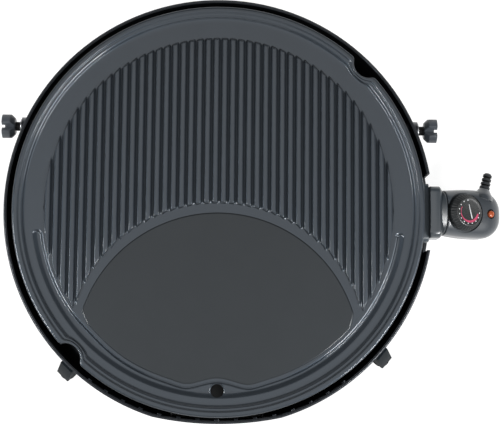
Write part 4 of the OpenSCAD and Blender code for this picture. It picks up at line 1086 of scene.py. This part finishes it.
def dial_dots():
    """The printed dots round the dial's face."""
    recipe = Recipe("dial_dots", {"Dots": DOTS, "Ring radius": DOT_R, "Start": math.radians(DOT_START),
                                  "Step": math.radians(DOT_STEP), "Dot radius": 0.62,
                                  "Face": face_height(DOT_R)})
    line = recipe.add("GeometryNodeMeshLine", {"Count": recipe.size("Dots"), "Offset": (0.0, 0.0, 0.0)})
    number = recipe.add("GeometryNodeInputIndex")
    turn = recipe.sum("ADD", recipe.size("Start"), recipe.sum("MULTIPLY", number, recipe.size("Step")))
    x = recipe.sum("MULTIPLY", recipe.sum("COSINE", turn), recipe.size("Ring radius"))
    y = recipe.sum("MULTIPLY", recipe.sum("SINE", turn), recipe.size("Ring radius"))
    ring = recipe.moved(line, recipe.point(x, y, recipe.size("Face")))
    dot = recipe.add("GeometryNodeMeshCylinder", {"Vertices": 14, "Side Segments": 1,
                                                  "Radius": recipe.size("Dot radius"), "Depth": 0.3})
    dots = recipe.add("GeometryNodeInstanceOnPoints", {"Points": ring, "Instance": dot.outputs["Mesh"]})
    metre = recipe.add("GeometryNodeTransform", {"Geometry": dots, "Scale": (MM, MM, MM)})
    mesh = recipe.bake(metre, DIAL_WHITE)
    mesh.transform(DIAL_FRAME)
    return mesh


def flat_patch(name, outline):
    """A thin printed patch on the dial's face, from pairs of points along its two edges."""
    rings = []
    for (x0, y0), (x1, y1) in outline:
        ring = []
        for lift, shares in ((-PRINT_T / 2, (0.0, 0.33, 0.67, 1.0)), (PRINT_T / 2, (1.0, 0.67, 0.33, 0.0))):
            for share in shares:
                x, y = x0 + (x1 - x0) * share, y0 + (y1 - y0) * share
                ring.append((x, y, face_height(math.hypot(x, y)) + lift))
        rings.append(ring)
    return capped(name, rings, DIAL_FRAME)


def dial_arc():
    """The printed arc, which widens towards the hot end."""
    outline = []
    for k in range(ARC_STEPS + 1):
        share = k / ARC_STEPS
        turn = math.radians(ARC_START + ARC_SPAN * share)
        c, s = math.cos(turn), math.sin(turn)
        middle = ARC_R[0] + ARC_R[1] * share
        swell = smooth_rise(share, 0.15, 0.75) * (1 - 0.45 * smooth_rise(share, 0.85, 1.0))
        half = ARC_HALF_W[0] + ARC_HALF_W[1] * swell
        near, far = middle - half, middle + half
        outline.append(((near * c, near * s), (far * c, far * s)))
    return flat_patch("dial_arc", outline)


def dial_index():
    """The printed line that points at the setting."""
    outline = []
    for k, half in enumerate(INDEX_HALF_W):
        share = k / INDEX_STEPS
        x, y = INDEX_START[0] + INDEX_RUN[0] * share, INDEX_START[1] + INDEX_RUN[1] * share
        outline.append(((x - half, y - half * 0.25), (x + half, y + half * 0.25)))
    return flat_patch("dial_index", outline)


def build_dial():
    body = fit_piece("knurled_dial", dial_body(), DIAL_PLASTIC, "dial", ("temperature_dial",),
                     crease=40.0)
    to_dial = DIAL_FRAME.inverted()
    repaint(body, KNURL_PLASTIC, lambda middle: (to_dial @ middle).xy.length > SKIRT_R * MM)
    fit_piece("dial_dots", dial_dots(), DIAL_WHITE, "dial")
    fit_piece("dial_arc", dial_arc(), DIAL_RED, "dial")
    fit_piece("dial_index", dial_index(), DIAL_WHITE, "dial")


BEZEL_SECTION = [
    (3.7, 13.0), (LENS_HOLE_R, 13.0), (LENS_HOLE_R, 16.1), (5.0, 16.3), (4.8, 16.1), (4.7, 15.3),
    (3.7, 15.2),
]
DOME_PROFILE = [
    (0, 12.9), (3.75, 12.9), (3.75, 16.6), (3.6, 17.4), (3.1, 18.0), (2.3, 18.4), (1.2, 18.65), (0, 18.7),
]


def build_lens():
    bezel = turned_ring("lens_bezel", BEZEL_SECTION, 40, LENS_FRAME)
    fit_piece("lens_bezel", bezel, BLACK_TRIM, "controller")
    dome = lathe("indicator_dome", DOME_PROFILE, 40, LENS_FRAME)
    fit_piece("indicator_dome", dome, LENS_ORANGE, "controller", ("indicator_lens",), crease=50.0)


BORE_R = 3.1
RELIEF_SHANK = [(5.3, -3.5), (5.3, 3.0), (4.0, 3.1), (3.9, 4.1)]
RINGS = 4
RING_PITCH = 4.5
RING_L = 2.6
RING_R = 5.7
RING_TAPER = 0.25
FIRST_RING_Z = 4.2
SLOT_R = 3.6
# Reach of the painted shade in the slots, which are painted black: the radius under which a face lies in
# one, and their heights
SLOT_SHADE_R = 4.6
SLOT_SHADE_Z = (6.85, 17.75)


def strain_relief():
    """The ringed strain relief, with a true bore for the lead."""
    outer = list(RELIEF_SHANK)
    for ring in range(RINGS):
        radius = RING_R - RING_TAPER * ring
        z = FIRST_RING_Z + RING_PITCH * ring
        outer += [(radius - 0.3, z), (radius, z + 0.3)]
        outer += [(radius - 0.08, z + 2.3), (radius - 0.4, z + RING_L)]
        if ring < RINGS - 1:
            outer += [(SLOT_R + 0.1, z + 2.7), (SLOT_R, z + 4.4)]
    end = z + RING_L
    outer += [(radius - 1.0, end + 0.7), (radius - 1.55, end + 1.2)]
    section = [(BORE_R, RELIEF_SHANK[0][1])] + outer + [(BORE_R + 0.2, end + 1.4), (BORE_R, end + 1.2)]
    return turned_ring("strain_relief", section, 40, RELIEF)


def paint_slot_shade(relief):
    """The slots between the strain relief's rings are painted black, as painted shade in their recesses."""
    to_axis = RELIEF.inverted()

    def in_shaded_slot(middle):
        spot = to_axis @ middle / MM
        out = math.hypot(spot.x, spot.y)
        return BORE_R + 0.2 < out < SLOT_SHADE_R and SLOT_SHADE_Z[0] < spot.z < SLOT_SHADE_Z[1]

    # Painted shade: the faces deep in the slots take the black trim finish
    repaint(relief, BLACK_TRIM, in_shaded_slot)


def build_relief():
    relief = fit_piece("ringed_relief", strain_relief(), RELIEF_RUBBER, "controller",
                       ("strain_relief",), crease=30.0)
    # Painted shade in the relief's slots
    paint_slot_shade(relief)


# ---------------------------------------------------------------- nodes that keep their CAD shape

KEPT = (
    (ZINC_STEEL, ("reflector_screws", "foot_screws", "left_clamp_nut", "left_clamp_stud", "right_clamp_nut",
                  "right_clamp_stud", "clip_screws", "guard_screws", "controller_screws", "dial_shaft")),
    (REFLECTOR_SHEET, ("heat_reflector",)),
    (ELEMENT_STEEL, ("heating_element",)),
    (CLIP_STEEL, ("element_clips",)),
    (BRIGHT_STEEL, ("terminal_pins",)),
    (CERAMIC, ("ceramic_insulators",)),
    (NOSE_BAKELITE, ("controller_nose",)),
    (CONTACT_BRASS, ("socket_contacts",)),
    (PROBE_STEEL, ("probe_rod",)),
    (SWITCH_BROWN, ("thermostat_switch",)),
    (NEON_GLASS, ("neon_lamp",)),
)


def paint_nodes():
    for material, names in KEPT:
        for name in names:
            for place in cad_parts[name].material_slots:
                place.material = material


build_plate()
build_base()
build_housing()
build_dial()
build_lens()
build_relief()
paint_nodes()
